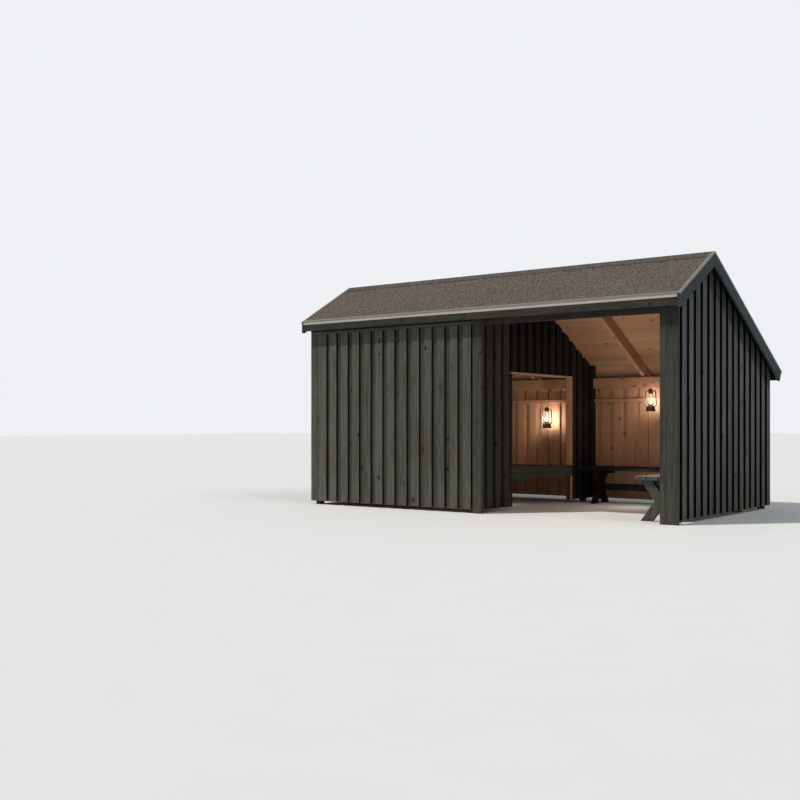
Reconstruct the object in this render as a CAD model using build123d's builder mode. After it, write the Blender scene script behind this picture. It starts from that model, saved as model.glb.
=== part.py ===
"""Garden shelter: a closed sleeping room, an open bay beside it and a felt roof with a long rear slope.

Millimetres, +Z up. X runs along the front from left to right, Y from front to back. The origin lies on the
ground in the middle of the whole outline, roof overhangs included.
"""

from build123d import *
from math import cos, radians, sin, tan
import os

# Walls in plan
length = 4570.0
depth = 2576.0
partition_face = 111.0
board_thickness = 22.0
module = 170.0
cover_width = 106.0
board_lap = 21.0
cladding_bottom = 40.0
frieze_height = 148.0
eave_gap = 17.0
front_corner_strip = 55.0
bay_corner_width = 187.0
room_corner_width = 106.0
front_first_cover = 120.0
gable_first_cover = 84.0
partition_first_cover = 122.0
rear_first_cover = 48.0

# Frame
post_size = 70.0
beam_bottom = 1992.0
beam_height = 84.5
plate_bottom = 1382.0
plate_height = 125.0
plate_heel = 43.7
rail_height = 42.0
rail_depth = 45.0
upper_rail_bottom = 1212.0
lower_rail_bottom = 352.0
stud_width = 45.0
corner_batten = 45.0
middle_post_setback = 70.0
rafter_width = 45.0
rafter_depth = 135.0
tail_depth = 84.0
bay_first_space = 760.0
bay_spaces = 3
room_first_space = 738.0
room_spaces = 3
ridge_board_width = 28.0
ridge_board_height = 150.0
ridge_board_gap = 8.0

# Roof
front_pitch = 29.5
rear_pitch = 28.4
front_overhang = 104.0
rear_overhang = 228.0
gable_overhang = 58.0
trim_thickness = 3.0
felt_thickness = 6.0
deck_thickness = 27.0
fascia_thickness = 22.0
fascia_drop = 73.0
drip_height = 36.0
bargeboard_width = 130.0
bargeboard_thickness = 22.0
toe_below_fascia = 18.0
verge_trim_width = 30.0
verge_lip = 18.0
ridge_strip_width = 110.0
drip_lap = 34.0

# Doorway and bunk
doorway_front = 631.0
doorway_rear = 1988.0
doorway_top = 1497.0
lining_thickness = 20.0
lining_width = 67.0
bunk_board_bottom = 325.0
bunk_board_top = 451.0
bunk_deck_drop = 22.0
bunk_deck_thickness = 22.0
bunk_joist_height = 80.0
bunk_joist_width = 45.0
bunk_joists = 5

# Benches
seat_height = 436.0
seat_thickness = 38.0
seat_planks = 4
plank_gap = 8.0
rear_seat_width = 486.0
side_seat_width = 496.0
rear_seat_left = 160.0
rear_seat_length = 1365.0
side_seat_front = 215.0
bench_gap = 21.0
leg_board = 95.0
leg_thickness = 45.0
leg_spread = 290.0
rear_leg_inset = 185.0
side_leg_inset = 40.0
cleat_height = 45.0
cleat_width = 45.0
cleat_inset = 25.0
stretcher_height = 78.0
stretcher_thickness = 40.0
stretcher_centre = 198.0

# Lanterns
tank_radius = 58.0
tank_shoulder = 46.0
tank_height = 58.0
burner_radius = 24.0
burner_height = 24.0
globe_foot = 27.0
globe_neck = 20.0
globe_radius = 38.0
globe_height = 122.0
globe_bulge_rise = 43.0
glass_thickness = 2.5
hood_radius = 29.0
hood_neck = 25.0
hood_lip_height = 8.0
hood_neck_height = 30.0
cap_radius = 32.0
cap_height = 8.0
cap_top_radius = 12.0
lantern_height = 268.0
tube_radius = 6.0
tube_clearance = 10.0
tube_lean = 10.0
tube_rise = 14.0
tube_drop = 28.0
tube_bend = 14.0
bail_wire = 2.2
bail_pivot = 200.0
bail_rise = 67.0
bail_flat = 6.5
running_gap = 0.3
hook_wire = 3.0
hook_clearance = 32.0
hook_lip = 14.0
room_lantern_x = -456.0
bay_lantern_x = 951.0
hook_above_rail_bottom = 12.0
hook_above_plate_bottom = 44.0

# Worked out from the sizes above
half_length = length / 2
wall = 2 * board_thickness
inner_x = half_length - wall
inner_y = depth - wall
front_y = -(depth + rear_overhang - front_overhang) / 2
post_inner = wall + post_size
beam_top = beam_bottom + beam_height
plate_top = plate_bottom + plate_height
felt_depth = trim_thickness
deck_depth = felt_depth + felt_thickness
rafter_top_depth = deck_depth + deck_thickness
rafter_bottom_depth = rafter_top_depth + rafter_depth
tail_bottom_depth = rafter_top_depth + tail_depth

# The ridge lies where the two slopes meet that sit on the front beam and on the rear plate
front_rise = tan(radians(front_pitch))
rear_rise = tan(radians(rear_pitch))
front_start = beam_top + rafter_bottom_depth / cos(radians(front_pitch)) - front_rise * post_inner
rear_start = plate_top + plate_heel + tail_bottom_depth / cos(radians(rear_pitch)) + rear_rise * inner_y
ridge_y = (rear_start - front_start) / (front_rise + rear_rise)
ridge_top = front_start + front_rise * ridge_y
rear_run = depth + rear_overhang - ridge_y
rear_slope = rear_run / cos(radians(rear_pitch))
roof_half = half_length + gable_overhang
verge_inner = roof_half - trim_thickness - bargeboard_thickness
partition_inner = partition_face - wall
partition_post = (partition_inner - post_size, partition_inner)
eave_y = -front_overhang + trim_thickness

plan = Plane(origin=(0, front_y, 0))
side = Plane(origin=(0, front_y, 0), x_dir=(0, 1, 0), z_dir=(1, 0, 0))


def front_z(y, depth_below):
    """Height of a line that lies depth_below under the front slope's top, at y from the front wall."""
    pitch = radians(front_pitch)
    return ridge_top - tan(pitch) * (ridge_y - y) - depth_below / cos(pitch)


def rear_z(y, depth_below):
    """Height of a line that lies depth_below under the rear slope's top, at y from the front wall."""
    pitch = radians(rear_pitch)
    return ridge_top - tan(pitch) * (y - ridge_y) - depth_below / cos(pitch)


def rear_y(z, depth_below):
    """Where a line that lies depth_below under the rear slope's top comes down to height z."""
    pitch = radians(rear_pitch)
    return ridge_y + (ridge_top - depth_below / cos(pitch) - z) / tan(pitch)


def rear_point(along, depth_below):
    """Point on the rear slope, along it from the ridge and square below its top."""
    pitch = radians(rear_pitch)
    y = ridge_y + along * cos(pitch) - depth_below * sin(pitch)
    z = ridge_top - along * sin(pitch) - depth_below * cos(pitch)
    return (y, z)


def outline(points, plane):
    """Closed face through the points, drawn on the plane."""
    with BuildSketch(plane) as drawn:
        with BuildLine():
            Polyline(*points, close=True)
        make_face()
    return drawn.sketch


def across(points, x_from, x_to):
    """Side view outline as a face at x_from, with the width that reaches x_to."""
    return outline(points, side.offset(x_from)), x_to - x_from


def block(x_range, y_range, z_range, mode=Mode.ADD):
    """Plain timber between three ranges, y measured from the front wall."""
    (x0, x1), (y0, y1), (z0, z1) = x_range, y_range, z_range
    with BuildSketch(plan.offset(z0)) as base:
        with Locations(((x0 + x1) / 2, (y0 + y1) / 2)):
            Rectangle(x1 - x0, y1 - y0)
    extrude(base.sketch, amount=z1 - z0, mode=mode)


def board_rows(first, start, end):
    """Ranges of the cover boards and of the boards behind them, between start and end."""
    covers = []
    backs = []
    low = first - module * (int((first - start) / module) + 2)
    while low < end:
        for rows, a, b in (
            (covers, low, low + cover_width),
            (backs, low + cover_width - board_lap, low + module + board_lap),
        ):
            a, b = max(a, start), min(b, end)
            if b - a > 1.0:
                rows.append((a, b))
        low += module
    return covers, backs


def cladding(rows, cover_face, out, along_x, bottom, top):
    """Board on board wall: cover boards outside, spaced boards behind them, lapping at their edges."""
    covers, backs = rows
    middle = cover_face - out * board_thickness
    inner = cover_face - out * wall
    for ranges, a, b in ((covers, cover_face, middle), (backs, middle, inner)):
        thick = (min(a, b), max(a, b))
        with BuildSketch(plan.offset(bottom)) as boards:
            for low, high in ranges:
                spans = ((low, high), thick) if along_x else (thick, (low, high))
                (x0, x1), (y0, y1) = spans
                with Locations(((x0 + x1) / 2, (y0 + y1) / 2)):
                    Rectangle(x1 - x0, y1 - y0)
        extrude(boards.sketch, amount=top - bottom)


def above_roof_boards(y_from, y_to):
    """Side view of all that lies above the underside of the roof boards."""
    top = ridge_top + wall
    peak = min(front_z(ridge_y, rafter_top_depth), rear_z(ridge_y, rafter_top_depth))
    points = [(y_from, top), (y_from, front_z(y_from, rafter_top_depth))]
    if y_from > ridge_y:
        points = [(y_from, top), (y_from, rear_z(y_from, rafter_top_depth))]
    if y_from < ridge_y < y_to:
        points.append((ridge_y, peak))
    if y_to > ridge_y:
        points.append((y_to, rear_z(y_to, rafter_top_depth)))
    else:
        points.append((y_to, front_z(y_to, rafter_top_depth)))
    points.append((y_to, top))
    return points


def trim_to_roof(y_from, y_to):
    """Cut what has been built off along the underside of the roof boards."""
    face, width = across(above_roof_boards(y_from, y_to), -roof_half, roof_half)
    extrude(face, amount=width, mode=Mode.SUBTRACT)


os.makedirs("parts", exist_ok=True)
pieces = []


def keep(piece, name):
    """Label a finished piece and put it on the list to be written."""
    piece.part.label = name
    pieces.append(piece.part)


# Posts stand on the ground inside the cladding
with BuildPart() as front_posts:
    for low in (-inner_x, partition_post[0], inner_x - post_size):
        block((low, low + post_size), (wall, post_inner), (0, beam_bottom))
keep(front_posts, "front_posts")

middle_post_y = inner_y - post_size - middle_post_setback
with BuildPart() as rear_posts:
    for low in (-inner_x, inner_x - post_size):
        block((low, low + post_size), (inner_y - post_size, inner_y), (0, plate_bottom))
    block(partition_post, (middle_post_y, middle_post_y + post_size), (0, plate_top))
keep(rear_posts, "rear_posts")

# The front beam, which the rafters sit on in a notch
with BuildPart() as front_beam:
    block((-inner_x, inner_x), (wall, post_inner), (beam_bottom, beam_top))
keep(front_beam, "front_beam")

# The rear plate and rails stop at the partition, and start again at the batten in the bay's corner
bay_start = partition_face + corner_batten
with BuildPart() as rear_plate:
    for ends in ((-inner_x, partition_inner), (bay_start, inner_x)):
        block(ends, (inner_y - post_size, inner_y), (plate_bottom, plate_top))
keep(rear_plate, "rear_plate")

# Rails run between the posts and the studs, two to a wall
stud_front = (doorway_front - lining_thickness - stud_width, doorway_front - lining_thickness)
stud_rear = (doorway_rear + lining_thickness, doorway_rear + lining_thickness + stud_width)
stud_x = (partition_inner - stud_width, partition_inner)
gable_rail_x = (inner_x - rail_depth, inner_x)
with BuildPart() as wall_rails:
    for bottom in (lower_rail_bottom, upper_rail_bottom):
        heights = (bottom, bottom + rail_height)
        room = (-inner_x + post_size, partition_post[0])
        block(room, (wall, wall + rail_depth), heights)
        for ends in ((-inner_x + post_size, partition_inner), (bay_start, inner_x - post_size)):
            block(ends, (inner_y - rail_depth, inner_y), heights)
        for low, high in (gable_rail_x, (-gable_rail_x[1], -gable_rail_x[0])):
            block((low, high), (post_inner, inner_y - post_size), heights)
        block(stud_x, (post_inner, stud_front[0]), heights)
        block(stud_x, (stud_rear[1], middle_post_y), heights)
keep(wall_rails, "wall_rails")

# Rafters, notched over the beam and the plate, their rear tails cut thinner outside the wall
partition_rafter = partition_inner - rafter_width / 2
gable_rafter = inner_x - rafter_width / 2
bay_next = partition_rafter + bay_first_space
bay_step = (gable_rafter - bay_next) / (bay_spaces - 1)
room_next = partition_rafter - room_first_space
room_step = (room_next + gable_rafter) / (room_spaces - 1)
rafter_centres = [-gable_rafter]
rafter_centres += [room_next - k * room_step for k in reversed(range(room_spaces - 1))]
rafter_centres += [partition_rafter]
rafter_centres += [bay_next + k * bay_step for k in range(bay_spaces)]

ridge_front = ridge_y - ridge_board_width / 2
ridge_rear = ridge_y + ridge_board_width / 2
front_rafter_outline = [
    (ridge_front, front_z(ridge_front, rafter_top_depth)),
    (wall, front_z(wall, rafter_top_depth)),
    (wall, beam_top),
    (post_inner, beam_top),
    (ridge_front, front_z(ridge_front, rafter_bottom_depth)),
]
tail_end = rear_slope - trim_thickness - fascia_thickness
rear_rafter_outline = [
    (ridge_rear, rear_z(ridge_rear, rafter_top_depth)),
    rear_point(tail_end, rafter_top_depth),
    rear_point(tail_end, tail_bottom_depth),
    (inner_y, rear_z(inner_y, tail_bottom_depth)),
    (inner_y, plate_top),
    (rear_y(plate_top, rafter_bottom_depth), plate_top),
    (ridge_rear, rear_z(ridge_rear, rafter_bottom_depth)),
]
with BuildPart() as front_rafters:
    for centre in rafter_centres:
        face, width = across(front_rafter_outline, centre - rafter_width / 2, centre + rafter_width / 2)
        extrude(face, amount=width)
keep(front_rafters, "front_rafters")

with BuildPart() as rear_rafters:
    for centre in rafter_centres:
        face, width = across(rear_rafter_outline, centre - rafter_width / 2, centre + rafter_width / 2)
        extrude(face, amount=width)
keep(rear_rafters, "rear_rafters")

whole_x = (-inner_x, inner_x)
ridge_board_top = front_z(ridge_front, rafter_top_depth) - ridge_board_gap
ridge_board_z = (ridge_board_top - ridge_board_height, ridge_board_top)
with BuildPart() as ridge_board:
    block(whole_x, (ridge_front, ridge_rear), ridge_board_z)
keep(ridge_board, "ridge_board")

# Walls: board on board


def notch_round_frame():
    """Cut the timbers that pass through the partition's boards out of them."""
    block(whole_x, (wall, post_inner), (beam_bottom, beam_top), Mode.SUBTRACT)
    block(whole_x, (ridge_front, ridge_rear), ridge_board_z, Mode.SUBTRACT)


room_corner_x = (partition_face - room_corner_width, partition_face)
bay_corner_x = (half_length - bay_corner_width, half_length)
front_wall_top = front_z(0, rafter_top_depth) - eave_gap
frieze_bottom = front_wall_top - frieze_height
with BuildPart() as front_wall:
    first_cover = -half_length + front_first_cover
    covers, backs = board_rows(first_cover, -half_length + front_corner_strip, room_corner_x[0])
    covers = [row for row in covers if row[1] - row[0] > cover_width / 4]
    covers = [(-half_length, -half_length + front_corner_strip)] + covers
    backs = [(-half_length, first_cover + board_lap)] + [row for row in backs if row[0] > first_cover]
    backs[-1] = (backs[-1][0], partition_face)
    cladding((covers, backs), 0.0, -1, True, cladding_bottom, front_wall_top)
    with BuildSketch(plan.offset(frieze_bottom)):
        with Locations((partition_face / 2 - half_length / 2, board_thickness / 2)):
            Rectangle(half_length + partition_face, board_thickness)
    extrude(amount=front_wall_top - frieze_bottom, mode=Mode.SUBTRACT)
keep(front_wall, "front_wall")

with BuildPart() as front_frieze:
    block((-half_length, room_corner_x[0]), (0, board_thickness), (frieze_bottom, front_wall_top))
keep(front_frieze, "front_frieze")

# Two wide boards run down to the ground, at the room's corner and at the bay's
with BuildPart() as corner_boards:
    block(room_corner_x, (0, board_thickness), (0, front_wall_top))
    block(bay_corner_x, (0, board_thickness), (0, front_wall_top))
keep(corner_boards, "corner_boards")

with BuildPart() as left_gable_wall:
    rows = board_rows(gable_first_cover, wall, inner_y)
    cladding(rows, -half_length, -1, False, cladding_bottom, ridge_top)
    trim_to_roof(0, depth)
keep(left_gable_wall, "left_gable_wall")

with BuildPart() as right_gable_wall:
    rows = board_rows(gable_first_cover, board_thickness, inner_y)
    cladding(rows, half_length, 1, False, cladding_bottom, ridge_top)
    trim_to_roof(0, depth)
keep(right_gable_wall, "right_gable_wall")

with BuildPart() as rear_wall:
    first_cover = -half_length + rear_first_cover
    covers, backs = board_rows(first_cover, first_cover, half_length)
    covers[0] = (-half_length, first_cover + cover_width)
    backs[0] = (-half_length, backs[0][1])
    cladding((covers, backs), depth, 1, True, cladding_bottom, plate_top)
keep(rear_wall, "rear_wall")

# The partition is split beside and over the doorway, with a batten on its boards in the bay's rear corner
cover_x = (partition_face - board_thickness, partition_face)
doorway_cut = (doorway_front - lining_thickness, doorway_rear + lining_thickness)
with BuildPart() as partition_front:
    rows = board_rows(partition_first_cover, wall, doorway_cut[0])
    cladding(rows, partition_face, 1, False, cladding_bottom, ridge_top)
    trim_to_roof(0, depth)
    notch_round_frame()
keep(partition_front, "partition_front")

with BuildPart() as partition_rear:
    rows = board_rows(partition_first_cover, doorway_cut[1], inner_y)
    cladding(rows, partition_face, 1, False, cladding_bottom, ridge_top)
    block((cover_x[0], bay_start), (inner_y - corner_batten, inner_y), (cladding_bottom, ridge_top))
    trim_to_roof(0, depth)
    notch_round_frame()
keep(partition_rear, "partition_rear")

with BuildPart() as partition_head:
    rows = board_rows(partition_first_cover, *doorway_cut)
    cladding(rows, partition_face, 1, False, doorway_top + lining_thickness, ridge_top)
    trim_to_roof(0, depth)
    notch_round_frame()
keep(partition_head, "partition_head")

# Studs beside the doorway reach from the foot of the boards to the rafters
with BuildPart() as partition_studs:
    block(stud_x, stud_front, (cladding_bottom, front_z(stud_front[0], rafter_bottom_depth)))
    block(stud_x, stud_rear, (cladding_bottom, rear_z(stud_rear[1], rafter_bottom_depth)))
keep(partition_studs, "partition_studs")

# Plain wood lining of the doorway, flush with the cover boards, cut back to their thickness under the bunk
lining_x = (partition_face - lining_width, partition_face)
with BuildPart() as doorway_jambs:
    for jamb_y in ((doorway_cut[0], doorway_front), (doorway_rear, doorway_cut[1])):
        block(lining_x, jamb_y, (bunk_board_top, doorway_top))
        block(cover_x, jamb_y, (cladding_bottom, bunk_board_bottom))
keep(doorway_jambs, "doorway_jambs")

with BuildPart() as doorway_head:
    block(lining_x, doorway_cut, (doorway_top, doorway_top + lining_thickness))
keep(doorway_head, "doorway_head")

# Roof boards, felt and the strip over the ridge
eave_deck_bottom = front_z(eave_y, rafter_top_depth)
front_deck_outline = [
    (ridge_y, front_z(ridge_y, deck_depth)),
    (eave_y, front_z(eave_y, deck_depth)),
    (eave_y, eave_deck_bottom),
    (ridge_y, front_z(ridge_y, rafter_top_depth)),
]
deck_end = rear_slope - trim_thickness
rear_deck_outline = [
    (ridge_y, rear_z(ridge_y, deck_depth)),
    rear_point(deck_end, deck_depth),
    rear_point(deck_end, rafter_top_depth),
    (ridge_y, rear_z(ridge_y, rafter_top_depth)),
]
front_felt_outline = [
    (ridge_y, front_z(ridge_y, felt_depth)),
    (eave_y, front_z(eave_y, felt_depth)),
    (eave_y, front_z(eave_y, deck_depth)),
    (ridge_y, front_z(ridge_y, deck_depth)),
]
rear_felt_outline = [
    (ridge_y, rear_z(ridge_y, felt_depth)),
    rear_point(deck_end, felt_depth),
    rear_point(deck_end, deck_depth),
    (ridge_y, rear_z(ridge_y, deck_depth)),
]
with BuildPart() as front_roof_boards:
    face, width = across(front_deck_outline, -verge_inner, verge_inner)
    extrude(face, amount=width)
keep(front_roof_boards, "front_roof_boards")

with BuildPart() as rear_roof_boards:
    face, width = across(rear_deck_outline, -verge_inner, verge_inner)
    extrude(face, amount=width)
keep(rear_roof_boards, "rear_roof_boards")

with BuildPart() as front_felt:
    face, width = across(front_felt_outline, -verge_inner, verge_inner)
    extrude(face, amount=width)
keep(front_felt, "front_felt")

with BuildPart() as rear_felt:
    face, width = across(rear_felt_outline, -verge_inner, verge_inner)
    extrude(face, amount=width)
keep(rear_felt, "rear_felt")

strip_half = roof_half - verge_trim_width
ridge_strip_outline = [
    (ridge_y, ridge_top),
    (ridge_y - ridge_strip_width, front_z(ridge_y - ridge_strip_width, 0)),
    (ridge_y - ridge_strip_width, front_z(ridge_y - ridge_strip_width, felt_depth)),
    (ridge_y, max(front_z(ridge_y, felt_depth), rear_z(ridge_y, felt_depth))),
    (ridge_y + ridge_strip_width, rear_z(ridge_y + ridge_strip_width, felt_depth)),
    (ridge_y + ridge_strip_width, rear_z(ridge_y + ridge_strip_width, 0)),
]
with BuildPart() as ridge_strip:
    face, width = across(ridge_strip_outline, -strip_half, strip_half)
    extrude(face, amount=width)
keep(ridge_strip, "ridge_strip")

# Fascias: plumb at the front, square to the slope at the rear
fascia_inner_y = eave_y + fascia_thickness
fascia_bottom = eave_deck_bottom - fascia_drop
front_fascia_outline = [
    (eave_y, fascia_bottom),
    (fascia_inner_y, fascia_bottom),
    (fascia_inner_y, front_z(fascia_inner_y, rafter_top_depth)),
    (eave_y, eave_deck_bottom),
]
rear_fascia_outline = [
    rear_point(tail_end, rafter_top_depth),
    rear_point(deck_end, rafter_top_depth),
    rear_point(deck_end, bargeboard_width - board_thickness / 2),
    rear_point(tail_end, bargeboard_width - board_thickness / 2),
]
with BuildPart() as fascia_boards:
    for profile in (front_fascia_outline, rear_fascia_outline):
        face, width = across(profile, -verge_inner, verge_inner)
        extrude(face, amount=width)
keep(fascia_boards, "fascia_boards")

# Folded metal drip edges: a leg down over the edge of the roof and a leg back over the felt
drip_top = front_z(-front_overhang, 0)
drip_back = eave_y + drip_lap
front_drip_outline = [
    (-front_overhang, drip_top),
    (-front_overhang, drip_top - drip_height),
    (eave_y, drip_top - drip_height),
    (eave_y, front_z(eave_y, felt_depth)),
    (drip_back, front_z(drip_back, felt_depth)),
    (drip_back, front_z(drip_back, 0)),
]
rear_drip_outline = [
    rear_point(rear_slope, 0),
    rear_point(deck_end - drip_lap, 0),
    rear_point(deck_end - drip_lap, felt_depth),
    rear_point(deck_end, felt_depth),
    rear_point(deck_end, drip_height),
    rear_point(rear_slope, drip_height),
]
with BuildPart() as drip_edges:
    for profile in (front_drip_outline, rear_drip_outline):
        face, width = across(profile, -strip_half, strip_half)
        extrude(face, amount=width)
keep(drip_edges, "drip_edges")

# Bargeboards, cut plumb with a level toe at the front, square at the rear, mitred at the ridge
front_verge_y = -front_overhang + trim_thickness
bargeboard_toe = fascia_bottom - toe_below_fascia
toe_y = ridge_y - (ridge_top - bargeboard_width / cos(radians(front_pitch)) - bargeboard_toe) / front_rise
front_barge_outline = [
    (ridge_y, front_z(ridge_y, trim_thickness)),
    (front_verge_y, front_z(front_verge_y, trim_thickness)),
    (front_verge_y, bargeboard_toe),
    (toe_y, bargeboard_toe),
    (ridge_y, front_z(ridge_y, bargeboard_width)),
]
rear_barge_outline = [
    (ridge_y, rear_z(ridge_y, trim_thickness)),
    rear_point(deck_end, trim_thickness),
    rear_point(deck_end, bargeboard_width),
    (ridge_y, rear_z(ridge_y, bargeboard_width)),
]
verge_outer = verge_inner + bargeboard_thickness
verge_spans = ((verge_inner, verge_outer), (-verge_outer, -verge_inner))
with BuildPart() as front_bargeboards:
    for x_from, x_to in verge_spans:
        face, width = across(front_barge_outline, x_from, x_to)
        extrude(face, amount=width)
keep(front_bargeboards, "front_bargeboards")

with BuildPart() as rear_bargeboards:
    for x_from, x_to in verge_spans:
        face, width = across(rear_barge_outline, x_from, x_to)
        extrude(face, amount=width)
keep(rear_bargeboards, "rear_bargeboards")

# Verge trims: a flat leg on the roof's edge and a lip down the bargeboard
front_cap = [
    (ridge_y, ridge_top),
    (-front_overhang, drip_top),
    (-front_overhang, front_z(-front_overhang, trim_thickness)),
    (ridge_y, front_z(ridge_y, trim_thickness)),
]
front_lip = [
    (ridge_y, ridge_top),
    (-front_overhang, drip_top),
    (-front_overhang, front_z(-front_overhang, verge_lip)),
    (ridge_y, front_z(ridge_y, verge_lip)),
]
rear_cap = [
    (ridge_y, ridge_top),
    rear_point(rear_slope, 0),
    rear_point(rear_slope, trim_thickness),
    (ridge_y, rear_z(ridge_y, trim_thickness)),
]
rear_lip = [
    (ridge_y, ridge_top),
    rear_point(rear_slope, 0),
    rear_point(rear_slope, verge_lip),
    (ridge_y, rear_z(ridge_y, verge_lip)),
]
with BuildPart() as front_verge_trims:
    for profile, inner_edge in ((front_cap, strip_half), (front_lip, roof_half - trim_thickness)):
        for x_from, x_to in ((inner_edge, roof_half), (-roof_half, -inner_edge)):
            face, width = across(profile, x_from, x_to)
            extrude(face, amount=width)
keep(front_verge_trims, "front_verge_trims")

with BuildPart() as rear_verge_trims:
    for profile, inner_edge in ((rear_cap, strip_half), (rear_lip, roof_half - trim_thickness)):
        for x_from, x_to in ((inner_edge, roof_half), (-roof_half, -inner_edge)):
            face, width = across(profile, x_from, x_to)
            extrude(face, amount=width)
keep(rear_verge_trims, "rear_verge_trims")

# Bunk: a board across the doorway, a deck behind it and joists from wall to wall
bunk_top = bunk_board_top - bunk_deck_drop
joist_top = bunk_top - bunk_deck_thickness
with BuildPart() as bunk_front_board:
    block(cover_x, doorway_cut, (bunk_board_bottom, bunk_board_top))
keep(bunk_front_board, "bunk_front_board")

with BuildPart() as bunk_deck:
    room_y = (post_inner, inner_y - post_size)
    block((-inner_x + rail_depth, partition_post[0]), room_y, (joist_top, bunk_top))
    block((partition_post[0], cover_x[0]), (doorway_front, doorway_rear), (joist_top, bunk_top))
keep(bunk_deck, "bunk_deck")

joist_y = (wall + rail_depth, inner_y - rail_depth)
first_joist = -inner_x + post_size + bunk_joist_width / 2
last_joist = partition_post[0] - bunk_joist_width / 2
joist_step = (last_joist - first_joist) / (bunk_joists - 1)
with BuildPart() as bunk_joist_set:
    for k in range(bunk_joists):
        centre = first_joist + k * joist_step
        span = (centre - bunk_joist_width / 2, centre + bunk_joist_width / 2)
        block(span, joist_y, (joist_top - bunk_joist_height, joist_top))
keep(bunk_joist_set, "bunk_joists")

# Benches: planks on cleats and crossed legs, each pair halved together, with a stretcher between
seat_bottom = seat_height - seat_thickness
rear_seat_y = (inner_y - post_size - rear_seat_width, inner_y - post_size)
side_seat_x = (inner_x - side_seat_width, inner_x)
rear_seat_x = (rear_seat_left, rear_seat_left + rear_seat_length)
side_seat_y = (side_seat_front, rear_seat_y[0] - bench_gap)
rear_centre = (rear_seat_y[0] + rear_seat_y[1]) / 2
side_centre = (side_seat_x[0] + side_seat_x[1]) / 2
rear_legs = (rear_seat_x[0] + rear_leg_inset, rear_seat_x[1] - rear_leg_inset - leg_thickness)
side_legs = (side_seat_y[0] + side_leg_inset, side_seat_y[1] - side_leg_inset - leg_thickness)


def planks(width_range):
    """Ranges of the seat planks across the seat's width."""
    low, high = width_range
    plank = (high - low - (seat_planks - 1) * plank_gap) / seat_planks
    starts = [low + k * (plank + plank_gap) for k in range(seat_planks)]
    return [(start, start + plank) for start in starts]


with BuildPart() as rear_bench_seat:
    for span in planks(rear_seat_y):
        block(rear_seat_x, span, (seat_bottom, seat_height))
keep(rear_bench_seat, "rear_bench_seat")

with BuildPart() as side_bench_seat:
    for span in planks(side_seat_x):
        block(span, side_seat_y, (seat_bottom, seat_height))
keep(side_bench_seat, "side_bench_seat")

leg_run = (leg_spread**2 + seat_bottom**2) ** 0.5
foot_half = leg_board / 2 * leg_run / seat_bottom


def leaning_board(lean):
    """Leg in its own plane, leaning to one side, cut level at the ground and under the seat."""
    foot = -lean * leg_spread / 2
    head = lean * leg_spread / 2
    return [
        (foot - foot_half, 0),
        (foot + foot_half, 0),
        (head + foot_half, seat_bottom),
        (head - foot_half, seat_bottom),
    ]


def crossed_leg(lean, plane):
    """One leg of a crossed pair, with half its thickness cut away where the other leg passes."""
    with BuildSketch(plane) as shape:
        with BuildLine():
            Polyline(*leaning_board(lean), close=True)
        make_face()
    half = leg_thickness / 2
    start = 0 if lean > 0 else half
    with BuildSketch(plane.offset(start)) as halving:
        with BuildLine():
            Polyline(*leaning_board(-lean), close=True)
        make_face()
    return shape.sketch, halving.sketch


def leg_planes():
    """Planes of the four crossed pairs: two under each bench, drawn at the bench's middle."""
    places = []
    for x in rear_legs:
        places.append(Plane(origin=(x, front_y + rear_centre, 0), x_dir=(0, 1, 0), z_dir=(1, 0, 0)))
    for y in side_legs:
        places.append(Plane(origin=(side_centre, front_y + y, 0), x_dir=(-1, 0, 0), z_dir=(0, 1, 0)))
    return places


with BuildPart() as left_leaning_legs:
    for place in leg_planes():
        shape, halving = crossed_leg(1, place)
        extrude(shape, amount=leg_thickness)
        extrude(halving, amount=leg_thickness / 2, mode=Mode.SUBTRACT)
keep(left_leaning_legs, "bench_legs_leaning_back")

with BuildPart() as right_leaning_legs:
    for place in leg_planes():
        shape, halving = crossed_leg(-1, place)
        extrude(shape, amount=leg_thickness)
        extrude(halving, amount=leg_thickness / 2, mode=Mode.SUBTRACT)
keep(right_leaning_legs, "bench_legs_leaning_front")

# Cleats lie under the planks on the inner side of each crossed pair
cleat_z = (seat_bottom - cleat_height, seat_bottom)
with BuildPart() as bench_cleats:
    rear_span = (rear_seat_y[0] + cleat_inset, inner_y - rail_depth)
    side_span = (side_seat_x[0] + cleat_inset, gable_rail_x[0])
    block((rear_legs[0] + leg_thickness, rear_legs[0] + leg_thickness + cleat_width), rear_span, cleat_z)
    block((rear_legs[1] - cleat_width, rear_legs[1]), rear_span, cleat_z)
    block(side_span, (side_legs[0] + leg_thickness, side_legs[0] + leg_thickness + cleat_width), cleat_z)
    block(side_span, (side_legs[1] - cleat_width, side_legs[1]), cleat_z)
keep(bench_cleats, "bench_cleats")

stretcher_z = (stretcher_centre - stretcher_height / 2, stretcher_centre + stretcher_height / 2)
stretcher_half = stretcher_thickness / 2
with BuildPart() as bench_stretchers:
    rear_width = (rear_centre - stretcher_half, rear_centre + stretcher_half)
    side_width = (side_centre - stretcher_half, side_centre + stretcher_half)
    block((rear_legs[0] + leg_thickness, rear_legs[1]), rear_width, stretcher_z)
    block(side_width, (side_legs[0] + leg_thickness, side_legs[1]), stretcher_z)
keep(bench_stretchers, "bench_stretchers")

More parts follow.
